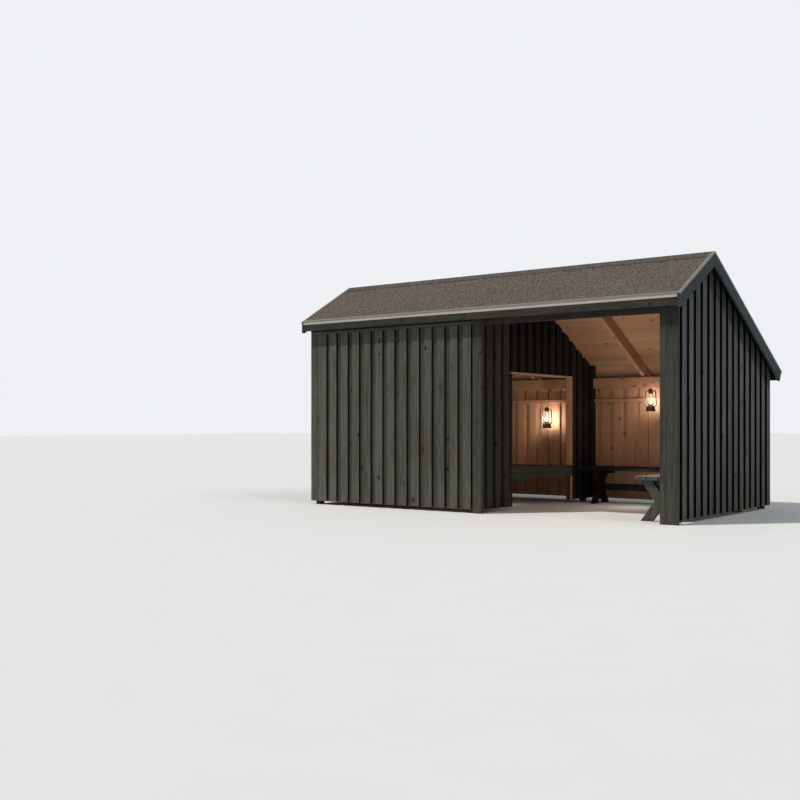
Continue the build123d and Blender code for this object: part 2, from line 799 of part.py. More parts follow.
# Lanterns hang from hooks in the rail and in the plate
rail_face = inner_y - rail_depth
plate_face = inner_y - post_size
hangings = (
    (room_lantern_x, rail_face, upper_rail_bottom + hook_above_rail_bottom),
    (bay_lantern_x, plate_face, plate_bottom + hook_above_plate_bottom),
)
tube_offset = tank_radius + tube_clearance
hook_reach = tank_radius + hook_clearance
bail_top = lantern_height + bail_rise
tube_low = tank_height + tube_rise
tube_high = lantern_height - tube_drop
tube_at_pivot = tube_offset - tube_lean * (bail_pivot - tube_low) / (tube_high - tube_low)
bail_half = tube_at_pivot + tube_radius + bail_wire + running_gap
burner_top = tank_height + burner_height
globe_top = burner_top + globe_height
hood_neck_top = globe_top + hood_neck_height


def lantern_plane(hanging):
    """Upright plane through a lantern's middle, facing the front, with its origin under the tank."""
    x, face_y, hook_z = hanging
    bottom = hook_z + hook_wire + running_gap + bail_wire - bail_top
    return Plane(origin=(x, front_y + face_y - hook_reach, bottom), x_dir=(1, 0, 0), z_dir=(0, -1, 0))


with BuildPart() as lantern_frames:
    for hanging in hangings:
        middle = lantern_plane(hanging)
        with BuildSketch(middle):
            with BuildLine():
                Polyline(
                    (0, 0),
                    (tank_radius, 0),
                    (tank_shoulder, tank_height),
                    (burner_radius, burner_top),
                    (0, burner_top),
                    close=True,
                )
            make_face()
            with BuildLine():
                Polyline(
                    (0, globe_top),
                    (globe_neck, globe_top),
                    (hood_radius, globe_top + hood_lip_height),
                    (hood_neck, hood_neck_top),
                    (cap_radius, hood_neck_top + cap_height),
                    (cap_top_radius, lantern_height),
                    (0, lantern_height),
                    close=True,
                )
            make_face()
        revolve(axis=Axis(middle.origin, (0, 0, 1)))
        for side in (-1, 1):
            with BuildLine(middle) as tube_line:
                FilletPolyline(
                    (side * burner_radius, tank_height),
                    (side * tube_offset, tube_low),
                    (side * (tube_offset - tube_lean), tube_high),
                    (side * burner_radius, tube_high),
                    radius=tube_bend,
                )
            with BuildSketch(Plane(tube_line.line @ 0, z_dir=tube_line.line % 0)):
                RegularPolygon(tube_radius, 8)
            sweep(path=tube_line.line)
keep(lantern_frames, "lantern_frames")

with BuildPart() as lantern_glasses:
    for hanging in hangings:
        middle = lantern_plane(hanging)
        bulge_z = burner_top + globe_bulge_rise
        inner_foot = globe_foot - glass_thickness
        inner_neck = globe_neck - glass_thickness
        inner_bulge = globe_radius - glass_thickness
        with BuildSketch(middle):
            with BuildLine():
                Line((globe_foot, burner_top), (inner_foot, burner_top))
                ThreePointArc((inner_foot, burner_top), (inner_bulge, bulge_z), (inner_neck, globe_top))
                Line((inner_neck, globe_top), (globe_neck, globe_top))
                ThreePointArc((globe_neck, globe_top), (globe_radius, bulge_z), (globe_foot, burner_top))
            make_face()
        revolve(axis=Axis(middle.origin, (0, 0, 1)))
keep(lantern_glasses, "lantern_glasses")

# Wire bails beside the tubes, hung over the hooks
with BuildPart() as lantern_bails:
    for hanging in hangings:
        middle = lantern_plane(hanging)
        with BuildLine(middle) as bail_line:
            FilletPolyline(
                (-bail_half, bail_pivot),
                (-bail_half, bail_top),
                (bail_half, bail_top),
                (bail_half, bail_pivot),
                radius=bail_half - bail_flat,
            )
        with BuildSketch(Plane(bail_line.line @ 0, z_dir=bail_line.line % 0)):
            RegularPolygon(bail_wire, 6)
        sweep(path=bail_line.line)
keep(lantern_bails, "lantern_bails")

with BuildPart() as lantern_hooks:
    for x, face_y, hook_z in hangings:
        upright = Plane(origin=(x, front_y + face_y, hook_z), x_dir=(0, 1, 0), z_dir=(1, 0, 0))
        with BuildLine(upright) as hook_line:
            FilletPolyline((0, 0), (-hook_reach - hook_lip, 0), (-hook_reach - hook_lip, hook_lip), radius=8)
        with BuildSketch(Plane(hook_line.line @ 0, z_dir=hook_line.line % 0)):
            RegularPolygon(hook_wire, 6)
        sweep(path=hook_line.line)
keep(lantern_hooks, "lantern_hooks")

for piece in pieces:
    export_step(piece, f"parts/{piece.label}.step")
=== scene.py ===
"""Garden shelter: boards, felt, edges, lanterns and finishes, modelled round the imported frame."""

import math
import random

import bpy
from bpy.props import FloatProperty, FloatVectorProperty, IntProperty, PointerProperty
from bpy.types import Operator, Panel, PropertyGroup
from mathutils import Matrix, Vector, noise


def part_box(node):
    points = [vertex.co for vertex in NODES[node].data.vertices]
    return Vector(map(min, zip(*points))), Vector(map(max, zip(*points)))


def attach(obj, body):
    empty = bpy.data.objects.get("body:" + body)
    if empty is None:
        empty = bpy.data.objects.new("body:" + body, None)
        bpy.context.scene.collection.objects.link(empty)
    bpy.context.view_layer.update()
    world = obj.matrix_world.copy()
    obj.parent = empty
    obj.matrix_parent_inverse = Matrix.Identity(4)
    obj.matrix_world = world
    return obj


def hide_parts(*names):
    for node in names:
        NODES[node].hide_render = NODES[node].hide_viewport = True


bl_info = {
    "name": "Garden Shelter",
    "version": (1, 0, 0),
    "blender": (4, 5, 0),
    "location": "View3D > Sidebar > Shelter",
    "description": "Dresses the frame of a boarded garden shelter: cladding, roof, lanterns and finishes",
    "category": "Object",
}

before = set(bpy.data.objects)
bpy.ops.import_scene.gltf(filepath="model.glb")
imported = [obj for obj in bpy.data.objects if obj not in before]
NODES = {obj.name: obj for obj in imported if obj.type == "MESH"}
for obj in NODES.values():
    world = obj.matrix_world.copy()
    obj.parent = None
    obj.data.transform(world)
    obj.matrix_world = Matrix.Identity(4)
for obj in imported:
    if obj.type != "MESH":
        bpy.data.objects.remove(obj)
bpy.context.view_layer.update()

X, Y, Z = Vector((1, 0, 0)), Vector((0, 1, 0)), Vector((0, 0, 1))


# Sizes and colours that a user would change


def length(name, description, default):
    """A length as a user's property, in metres."""
    return FloatProperty(name=name, description=description, default=default, unit="LENGTH")


def angle(name, description, degrees):
    """An angle as a user's property."""
    return FloatProperty(name=name, description=description, default=math.radians(degrees), subtype="ANGLE")


def paint(name, description, *default):
    """A colour as a user's property, as linear values."""
    return FloatVectorProperty(name=name, description=description, default=default, size=3, subtype="COLOR")


class ShelterSizes(PropertyGroup):
    """Board, roof and fitting sizes that the frame doesn't give."""

    board: length("Board thickness", "Thickness of each layer of cladding", 0.022)
    module: length("Board module", "From one cover board to the next", 0.170)
    cover: length("Cover board", "Width of a cover board", 0.106)
    lap: length("Lap", "How far a cover board lies over the board behind", 0.021)
    ease: length("Eased edge", "Rounding along the edges of sawn timber", 0.0022)
    front_first: length("First front cover", "From the left corner to the first cover", 0.120)
    corner_strip: length("Corner strip", "Width of the left front corner's board", 0.106)
    corner_next: length("Next to the corner", "From the left corner to the next cover's end", 0.241)
    gable_first: length("First gable cover", "From the front face to the first cover", 0.084)
    partition_first: length("First partition cover", "From the front face to the first cover", 0.122)
    rear_first: length("First rear cover", "From the left corner to the cover module", 0.048)
    corner_batten: length("Corner batten", "Batten in the bay's rear corner", 0.045)
    front_pitch: angle("Front pitch", "Slope of the front roof", 29.5)
    rear_pitch: angle("Rear pitch", "Slope of the rear roof", 28.4)
    edge_metal: length("Edge metal", "Thickness of the folded edges over the felt", 0.003)
    felt: length("Felt", "Thickness of the felt layer", 0.006)
    roof_board: length("Roof board", "Thickness of the roof boards", 0.027)
    roof_board_width: length("Roof board width", "Face width of a roof board", 0.095)
    felt_roll: length("Felt course", "Slope covered by one course of felt", 0.86)
    felt_lap: length("Felt lap", "Lap between two courses", 0.08)
    lining: length("Lining", "Thickness of the doorway's lining", 0.020)
    deck_board: length("Bunk board", "Width of a board of the bunk", 0.120)
    screw: length("Screw head", "Radius of a screw's head", 0.0042)
    seed: IntProperty(name="Seed", description="Picks the small differences between boards", default=7, min=0)


class ShelterColours(PropertyGroup):
    """Colours of the shelter's finishes."""

    stain: paint("Front stain", "Dark stain on the front", 0.073, 0.073, 0.062)
    # The gables' and rear's stain is the front's stain tinted blue: painted skylight on the sides out of the sun.
    painted_skylight_gable_stain: paint("Gable stain", "Dark stain on the gables", 0.074, 0.083, 0.086)
    trim_stain: paint("Trim stain", "Stain on the bargeboards", 0.036, 0.049, 0.052)
    bench_stain: paint("Bench stain", "Stain on the benches", 0.078, 0.078, 0.068)
    pine: paint("Pine", "Bare planed pine", 0.53, 0.288, 0.168)
    felt: paint("Felt", "Mineral granules of the felt", 0.112, 0.101, 0.083)
    metal: paint("Edge metal", "Paint of the folded edges", 0.34, 0.33, 0.29)
    lantern: paint("Lantern", "Paint of the lanterns", 0.010, 0.011, 0.012)
    glow: paint("Glow", "Light of the lanterns", 1.0, 0.88, 0.72)
    floor: paint("Floor", "Studio floor", 0.74, 0.74, 0.73)


def sizes():
    """The sizes in use."""
    return bpy.context.scene.shelter_sizes


def colours():
    """The colours in use."""
    return bpy.context.scene.shelter_colours


# Shader maths


class Signal:
    """A node's socket, with the operators that finishes need."""

    def __init__(self, nodes, socket):
        self.nodes = nodes
        self.socket = socket

    def maths(self, operation, *values):
        return self.nodes.node("ShaderNodeMath", {"operation": operation}, dict(enumerate(values)))

    def __add__(self, other):
        return self.maths("ADD", self, other)

    __radd__ = __add__

    def __sub__(self, other):
        return self.maths("SUBTRACT", self, other)

    def __rsub__(self, other):
        return self.maths("SUBTRACT", other, self)

    def __mul__(self, other):
        return self.maths("MULTIPLY", self, other)

    __rmul__ = __mul__

    def sine(self):
        return self.maths("SINE", self)

    def at_most(self, other):
        return self.maths("MINIMUM", self, other)

    def at_least(self, other):
        return self.maths("MAXIMUM", self, other)

    def fade(self, start, end, low=0.0, high=1.0):
        """Runs smoothly from low at start to high at end."""
        inputs = {"Value": self, "From Min": start, "From Max": end, "To Min": low, "To Max": high}
        return self.nodes.node("ShaderNodeMapRange", {"interpolation_type": "SMOOTHSTEP"}, inputs)


class Nodes:
    """A node tree of a material or a world, built node by node."""

    def __init__(self, owner):
        owner.use_nodes = True
        self.tree = owner.node_tree

    def node(self, kind, settings=None, inputs=None, output=0):
        """Adds a node of a kind, fills in its settings and its inputs, and gives one of its outputs."""
        made = self.tree.nodes.new(kind)
        for key, value in (settings or {}).items():
            setattr(made, key, value)
        for key, value in (inputs or {}).items():
            self.join(value, self.find(made, key))
        return Signal(self, made.outputs[output])

    def find(self, node, key):
        """A node's input by its number, its identifier or its name."""
        if isinstance(key, int):
            return node.inputs[key]
        return next((s for s in node.inputs if s.identifier == key), None) or node.inputs[key]

    def join(self, value, socket):
        """Links a signal to a socket, or writes a plain value there."""
        if isinstance(value, Signal):
            self.tree.links.new(value.socket, socket)
        elif socket.type == "RGBA" and len(value) == 3:
            socket.default_value = (*value, 1.0)
        else:
            socket.default_value = value

    def blend(self, first, second, factor):
        """From the first colour to the second."""
        inputs = {"Factor_Float": factor, "A_Color": first, "B_Color": second}
        return self.node("ShaderNodeMix", {"data_type": "RGBA"}, inputs, output=2)


class Finish(Nodes):
    """One material on the principled shader."""

    def __init__(self, name):
        self.material = bpy.data.materials.new(name)
        super().__init__(self.material)
        self.shader = next(node for node in self.tree.nodes if node.type == "BSDF_PRINCIPLED")

    def place(self):
        """Object coordinates, in metres."""
        return self.node("ShaderNodeTexCoord", output="Object")

    def axis(self, name):
        """One of the Object coordinates, in metres, or their sum with a weight for each."""
        if isinstance(name, tuple):
            return self.node("ShaderNodeVectorMath", {"operation": "DOT_PRODUCT"}, {0: self.place(), 1: name}, "Value")
        return self.node("ShaderNodeSeparateXYZ", inputs={"Vector": self.place()}, output=name)

    def attribute(self, name):
        """A number that is written on the mesh."""
        return self.node("ShaderNodeAttribute", {"attribute_name": name}, output="Fac")

    def vector(self, operation, *values):
        return self.node("ShaderNodeVectorMath", {"operation": operation}, dict(enumerate(values)))

    def scaled(self, vector, factor):
        """A vector or a colour times one number."""
        return self.node("ShaderNodeVectorMath", {"operation": "SCALE"}, {"Vector": vector, "Scale": factor})

    def cloud(self, lumps, detail=2.0, roughness=0.5, place=None):
        """Noise with so many lumps to the metre, or so many along each axis."""
        stretch = lumps if isinstance(lumps, tuple) else (lumps,) * 3
        inputs = {"Vector": self.vector("MULTIPLY", place or self.place(), stretch), "Scale": 1.0}
        inputs |= {"Detail": detail, "Roughness": roughness}
        return self.node("ShaderNodeTexNoise", {"noise_dimensions": "3D"}, inputs)

    def bump(self, height, distance, strength=1.0):
        """Dents and ridges up to a distance in metres."""
        inputs = {"Height": height, "Distance": distance, "Strength": strength}
        return self.node("ShaderNodeBump", inputs=inputs, output="Normal")

    def surface(self, **values):
        """Sets or links the shader's sockets, with underscores for the spaces in their names."""
        for key, value in values.items():
            self.join(value, self.shader.inputs[key.replace("_", " ")])
        return self.material


# Finishes

GRAIN_ORDER = {"X": "YZX", "Y": "ZXY", "Z": "XYZ"}
BOARD_SHIFT = (9.0, 5.0, 23.0)  # how far a timber's number moves its grain along each axis
KNOTS = 5.4  # cells for knots to the metre
KNOT, KNOT_CORE, KNOT_HALO = 0.110, 0.065, 0.28  # reach of a knot, of its middle and of its halo, in cells
RINGS = 130.0  # turns of the growth rings over the flow of the grain
# Tone of a seat's top: wear together with painted light on the top.
WORN_AND_LIT_WOOD = (0.24, 0.21, 0.17)


def tinted(tone, shares):
    """A tone with each of its parts times a share."""
    return tuple(part * share for part, share in zip(tone, shares))


def both_ends(begin, full, share):
    """The same band towards both ends of the shelter, as in banded()."""
    return [("X", way * begin, way * full, share) for way in (-1, 1)]


def lengthwise(finish, along, tilt):
    """Coordinates with the grain along their third axis; tilt turns them in side view first."""
    turned = finish.node("ShaderNodeMapping", {"vector_type": "POINT"}, {"Vector": finish.place(), "Rotation": tilt})
    split = finish.node("ShaderNodeSeparateXYZ", inputs={"Vector": turned}).socket.node
    parts = [Signal(finish, split.outputs[axis]) for axis in GRAIN_ORDER[along]]
    return finish.node("ShaderNodeCombineXYZ", inputs=dict(zip("XYZ", parts)))


def each_timber(finish, cells):
    """A number from 0 to 1 for each timber: its own attribute, or one for each cell of the given size."""
    if cells is None:
        return finish.attribute("board")
    per_metre = [1 / cell for cell in cells]
    number = finish.vector("FLOOR", finish.vector("MULTIPLY", finish.place(), per_metre))
    return finish.node("ShaderNodeTexWhiteNoise", {"noise_dimensions": "3D"}, {"Vector": number}, output="Value")


def timber_pattern(finish, along, tilt, cells):
    """What all sawn timber shows: its number, growth rings, fibres, streaks and knots."""
    number = each_timber(finish, cells)
    steps = {axis: number * step for axis, step in zip("XYZ", BOARD_SHIFT)}
    shift = finish.node("ShaderNodeCombineXYZ", inputs=steps)
    moved = finish.vector("ADD", lengthwise(finish, along, tilt), shift)
    inputs = {"Vector": finish.vector("MULTIPLY", moved, (1.0, 1.0, 0.80)), "Scale": KNOTS}
    settings = {"voronoi_dimensions": "3D", "feature": "F1"}
    knots = finish.node("ShaderNodeTexVoronoi", settings, inputs, output="Distance")
    knot, halo = knots.fade(KNOT, KNOT_CORE), knots.fade(KNOT_HALO, KNOT_CORE)
    flow = finish.cloud((8.0, 8.0, 0.55), 1.0, place=moved) + halo * 0.10
    rings = (flow * RINGS).sine() * 0.5 + 0.5
    fibre = finish.cloud((170.0, 170.0, 6.0), 3.0, 0.7, moved)
    streak = finish.cloud((52.0, 52.0, 1.8), 2.0, 0.6, moved)
    return number, rings, fibre, streak, knot, halo


def banded(finish, shade, bands):
    """Shade times the share of each band.

    A band is an axis or a weight for each axis, where it begins, where it is full, and the share that it has
    there, which may be a band itself.
    """
    for axis, begin, full, share in bands:
        if isinstance(share, tuple):
            share = banded(finish, 1.0, [share])
        shade = shade * finish.axis(axis).fade(begin, full, 1.0, share)
    return shade


def stained(
    name, tone, along="Z", tilt=(0, 0, 0), cells=None, groove=None, level=1.0, low=None, bands=(), worn_and_lit_top=None
):
    """Sawn timber under a thin dark stain.

    groove is the share left deep in the grooves, painted shade there, and low the tone that it takes towards the
    ground, painted light thrown up from it. Over the pale top's height it turns pale, from wear together with painted
    light on the top. The bands are as in banded().
    """
    finish = Finish(name)
    number, rings, fibre, streak, knot, halo = timber_pattern(finish, along, tilt, cells)
    patch = finish.cloud((2.6, 2.6, 1.7))
    grey = streak.fade(0.32, 0.68)
    shade = 0.50 + fibre.fade(0.32, 0.68) * 0.42 + grey * 0.44 + rings * 0.10
    shade = shade + (number - 0.5) * 0.22 + (patch - 0.5) * 0.36
    shade = shade * (1.0 - knot * 0.80) * (1.0 - halo * 0.20) * level
    # Painted shade in the grooves: darker the deeper a cover board's side runs in.
    if groove is not None:
        shade = shade * finish.attribute("open").fade(0.45, 0.98, groove, 1.0)
    shade = banded(finish, shade, bands)
    tint = finish.blend(tinted(tone, (1.06, 1.0, 0.90)), tinted(tone, (0.97, 1.0, 1.03)), grey)
    # Painted light thrown up from the ground: the tint turns towards low there.
    if low is not None:
        tint = finish.blend(low, tint, finish.axis("Z").fade(0.0, 1.3))
    # The top turns pale: wear together with painted light falling on it.
    if worn_and_lit_top is not None:
        tint = finish.blend(tint, WORN_AND_LIT_WOOD, finish.axis("Z").fade(worn_and_lit_top - 0.004, worn_and_lit_top - 0.001))
    wear_and_painted_light = fibre * 0.6 + rings * 0.15 + streak * 0.25
    return finish.surface(
        Base_Color=finish.scaled(tint, shade),
        Roughness=wear_and_painted_light.fade(0.2, 0.8, 0.86, 0.66),
        Specular_IOR_Level=0.15 if level > 0.1 else 0.03,
        Normal=finish.bump(wear_and_painted_light - knot * 0.4, 0.0016, 0.8),
    )


def bare(name, tone, along="Z", tilt=(0, 0, 0), cells=None, level=1.0, bands=()):
    """Planed pine with rings, knots and a little difference between boards. The bands are as in banded()."""
    finish = Finish(name)
    number, rings, fibre, streak, knot, halo = timber_pattern(finish, along, tilt, cells)
    light = tinted(tone, (level,) * 3)
    late = rings * 0.34 + halo * 0.45 + streak.fade(0.35, 0.75) * 0.40
    wood = finish.blend(light, tinted(light, (0.80, 0.66, 0.52)), late)
    wood = finish.blend(wood, tinted(light, (0.36, 0.22, 0.15)), knot * 0.85)
    shade = 0.80 + fibre * 0.22 + (number - 0.5) * 0.20 + (streak - 0.5) * 0.24
    return finish.surface(
        Base_Color=finish.scaled(wood, banded(finish, shade, bands)),
        Roughness=fibre.fade(0.3, 0.7, 0.52, 0.68),
        Specular_IOR_Level=0.35,
        Normal=finish.bump(fibre * 0.6 + rings * 0.4, 0.0005, 0.5),
    )


def mineral_felt(name, tone):
    """Roofing felt: brown and grey granules pressed into a dark base."""
    finish = Finish(name)
    grain = finish.cloud(260.0, 1.0)
    speck = finish.cloud(72.0, 3.0, 0.85)
    stain = finish.cloud(44.0, 2.0, 0.7)
    drift = finish.cloud((1.4, 2.2, 2.2))
    mix = (speck * 0.78 + grain * 0.22).fade(0.45, 0.55)
    colour = finish.blend(tinted(tone, (0.26, 0.27, 0.30)), tinted(tone, (1.70, 1.68, 1.66)), mix)
    colour = finish.blend(colour, tinted(tone, (1.55, 1.00, 0.68)), stain.fade(0.50, 0.66) * 0.55)
    return finish.surface(
        Base_Color=finish.scaled(colour, (0.82 + drift * 0.28) * stain.fade(0.35, 0.65, 0.78, 1.22)),
        Roughness=0.95,
        Specular_IOR_Level=0.2,
        Normal=finish.bump(mix * 0.6 + grain * 0.4, 0.0026, 0.9),
    )


def painted_sheet(name, tone, lap=None):
    """Folded sheet metal, painted and a little weathered.

    lap is for the eaves: where the front nose stands on Y, the height under which it is dull, and the tone of the
    granules that lie on it behind and over the nose.
    """
    finish = Finish(name)
    run = finish.cloud((9.0, 30.0, 30.0), 3.0)
    dust = finish.cloud(140.0)
    colour = finish.scaled(tone, 0.78 + run * 0.34 + dust * 0.10)
    if lap is not None:
        nose, dull, grit = lap
        height, across = finish.axis("Z"), finish.axis("Y")
        colour = finish.scaled(colour, height.fade(dull - 0.003, dull + 0.003, 1.18, 0.68))
        behind, over = across.fade(nose + 0.001, nose + 0.012), height.fade(dull + 0.009, dull + 0.013)
        colour = finish.blend(colour, grit, (behind + over).at_most(1.0) * across.fade(0.1, 0.0))
    return finish.surface(
        Base_Color=colour,
        Roughness=run.fade(0.3, 0.7, 0.40, 0.58),
        Metallic=0.0,
        Normal=finish.bump(run, 0.0008, 0.4),
    )


def lantern_paint(name, tone):
    """Dark enamel on pressed tin, rubbed through to the metal in places."""
    finish = Finish(name)
    rub = finish.cloud(60.0, 3.0, 0.7)
    steel = (0.22, 0.19, 0.155)
    return finish.surface(
        Base_Color=finish.blend(tone, steel, rub.fade(0.42, 0.62) * 0.8),
        Roughness=rub.fade(0.3, 0.7, 0.34, 0.50),
        Metallic=rub.fade(0.5, 0.8, 0.15, 0.7),
        Normal=finish.bump(rub, 0.0004, 0.5),
    )


def steel_wire(name):
    """Drawn wire with a dull zinc coat."""
    finish = Finish(name)
    spangle = finish.cloud(210.0)
    return finish.surface(
        Base_Color=finish.blend((0.24, 0.21, 0.17), (0.36, 0.32, 0.26), spangle),
        Roughness=spangle.fade(0.3, 0.7, 0.42, 0.6),
        Metallic=0.5,
    )


def lantern_glass(name):
    """Clear glass with faint patches of soot and a faint painted glow."""
    finish = Finish(name)
    soot = finish.cloud(30.0)
    return finish.surface(
        Base_Color=finish.blend((0.92, 0.88, 0.80), (1.0, 0.98, 0.94), soot),
        Roughness=soot.fade(0.3, 0.7, 0.02, 0.10),
        IOR=1.45,
        Transmission_Weight=1.0,
        # Painted glow: the glass gives out a little light of its own, though the light is the flame's.
        Emission_Color=(1.0, 0.92, 0.80, 1.0),
        Emission_Strength=0.03,
    )


def flame_light(name, glow):
    """Flame on the wick, a little warmer in patches."""
    finish = Finish(name)
    lick = finish.cloud((120.0, 120.0, 60.0), 1.0)
    return finish.surface(
        Base_Color=(1.0, 0.8, 0.5),
        Emission_Color=finish.blend(glow, (1.0, 0.92, 0.78), lick),
        Emission_Strength=4.2,
    )


def screw_head(name):
    """Blackened screw heads, a little brighter in places."""
    finish = Finish(name)
    rub = finish.cloud(500.0, 1.0)
    return finish.surface(
        Base_Color=finish.blend((0.03, 0.03, 0.03), (0.09, 0.088, 0.08), rub), Roughness=0.5, Metallic=0.7
    )


# Modelling helpers

FACING = 0.95  # least cosine of a face that looks one way
DARK = 0.06  # what a band of deep shade leaves of a finish


def only(*parts):
    """Selects these objects and nothing else, the first of them active."""
    bpy.ops.object.select_all(action="DESELECT")
    for part in parts:
        part.select_set(True)
    bpy.context.view_layer.objects.active = parts[0]


def settle(piece):
    """Puts a piece's place into its mesh."""
    only(piece)
    bpy.ops.object.transform_apply(location=True, rotation=True, scale=True)
    return piece


def edit(piece, operation, **settings):
    """Runs one mesh operator on the whole of a piece."""
    only(piece)
    bpy.ops.object.mode_set(mode="EDIT")
    bpy.ops.mesh.select_all(action="SELECT")
    operation(**settings)
    bpy.ops.object.mode_set(mode="OBJECT")
    return piece


def timber(low, high, ease=None):
    """Squared timber between two corners, with eased edges."""
    low, high = Vector(low), Vector(high)
    bpy.ops.mesh.primitive_cube_add(size=1.0, location=(low + high) / 2, scale=high - low)
    piece = settle(bpy.context.object)
    return edit(piece, bpy.ops.mesh.bevel, offset=ease or sizes().ease, segments=2, affect="EDGES")


def mark(piece, name, values):
    """Writes one number for each vertex of a piece."""
    layer = piece.data.attributes.new(name, "FLOAT", "POINT")
    layer.data.foreach_set("value", values)
    return piece


def number_timber(piece, picks):
    """Gives all of a piece the same random number."""
    return mark(piece, "board", [picks.random()] * len(piece.data.vertices))


def plank(low, high, material, picks, ease=None):
    """A timber in its finish, with its own random number."""
    return number_timber(dress(timber(low, high, ease), material), picks)


def joined(parts, name):
    """Joins parts into one piece with that name."""
    only(*parts)
    bpy.ops.object.join()
    piece = bpy.context.object
    piece.name = piece.data.name = name
    return piece


def side_by_side(start, end, width, least):
    """Spans of boards from start to end, without a last one narrower than least."""
    spans = []
    while start < end - least:
        spans.append((start, min(start + width, end)))
        start += width
    return spans


def saw(piece, point, beyond):
    """Cuts off what lies beyond a plane and closes the ends."""
    return edit(piece, bpy.ops.mesh.bisect, plane_co=point, plane_no=beyond, use_fill=True, clear_outer=True)


def copy_of(piece, move):
    """A copy with its own mesh, moved by a matrix."""
    twin = piece.copy()
    twin.data = piece.data.copy()
    twin.data.transform(move)
    bpy.context.collection.objects.link(twin)
    return twin


def dress(piece, *materials):
    """Replaces a piece's materials."""
    piece.data.materials.clear()
    for material in materials:
        piece.data.materials.append(material)
    return piece


def stands_for(piece, slot, *nodes):
    """Lets a piece ride on the body in the place of its CAD nodes."""
    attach(piece, "root")
    if nodes:
        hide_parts(*nodes)


def face_by_side(piece, way, match, other):
    """Gives faces that look one way the first material number, and the rest the second."""
    for face in piece.data.polygons:
        face.material_index = match if face.normal.dot(way) > FACING else other


# Roof planes


def ridge():
    """Side view place of the ridge, over the felt and its metal."""
    return Vector((0.0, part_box("front_felt")[1].y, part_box("ridge_strip")[1].z))


def slope(side):
    """Matrix from a slope's own axes to the shelter: +Y down the slope from the ridge, +Z square out of it."""
    turn = Matrix.Rotation(-sizes().rear_pitch, 4, "X")
    if side == "front":
        turn = Matrix.Rotation(sizes().front_pitch, 4, "X") @ Matrix.Rotation(math.pi, 4, "Z")
    return Matrix.Translation(ridge()) @ turn


def slopes():
    """Each slope's name, its pitch, the turn of its timbers in side view and the way down it."""
    front, rear = sizes().front_pitch, sizes().rear_pitch
    return (("front", front, (-front, 0, 0), -Y), ("rear", rear, (rear, 0, 0), Y))


def saw_to_roof(piece):
    """Cuts a piece along the underside of the roof boards."""
    depth = sizes().edge_metal + sizes().felt + sizes().roof_board
    for side in ("front", "rear"):
        plane = slope(side)
        saw(piece, plane @ (-depth * Z), plane.to_3x3() @ Z)
    return piece


# Cladding

SLIVER = 0.0015  # boards narrower than this are left out
END_GAP = 0.003  # between the boards at the left end of a wall
AT_END = 0.003  # faces this near to a wall's end are its end
ASKEW = 0.35  # least cosine of the sides of a cover board, eased edges too
OUTER_EDGE = 0.020  # outermost part of the gables, where bare wood is in deep shade
VERGE_SHADE = 0.30  # down from the rear slope to the shade that lies along it


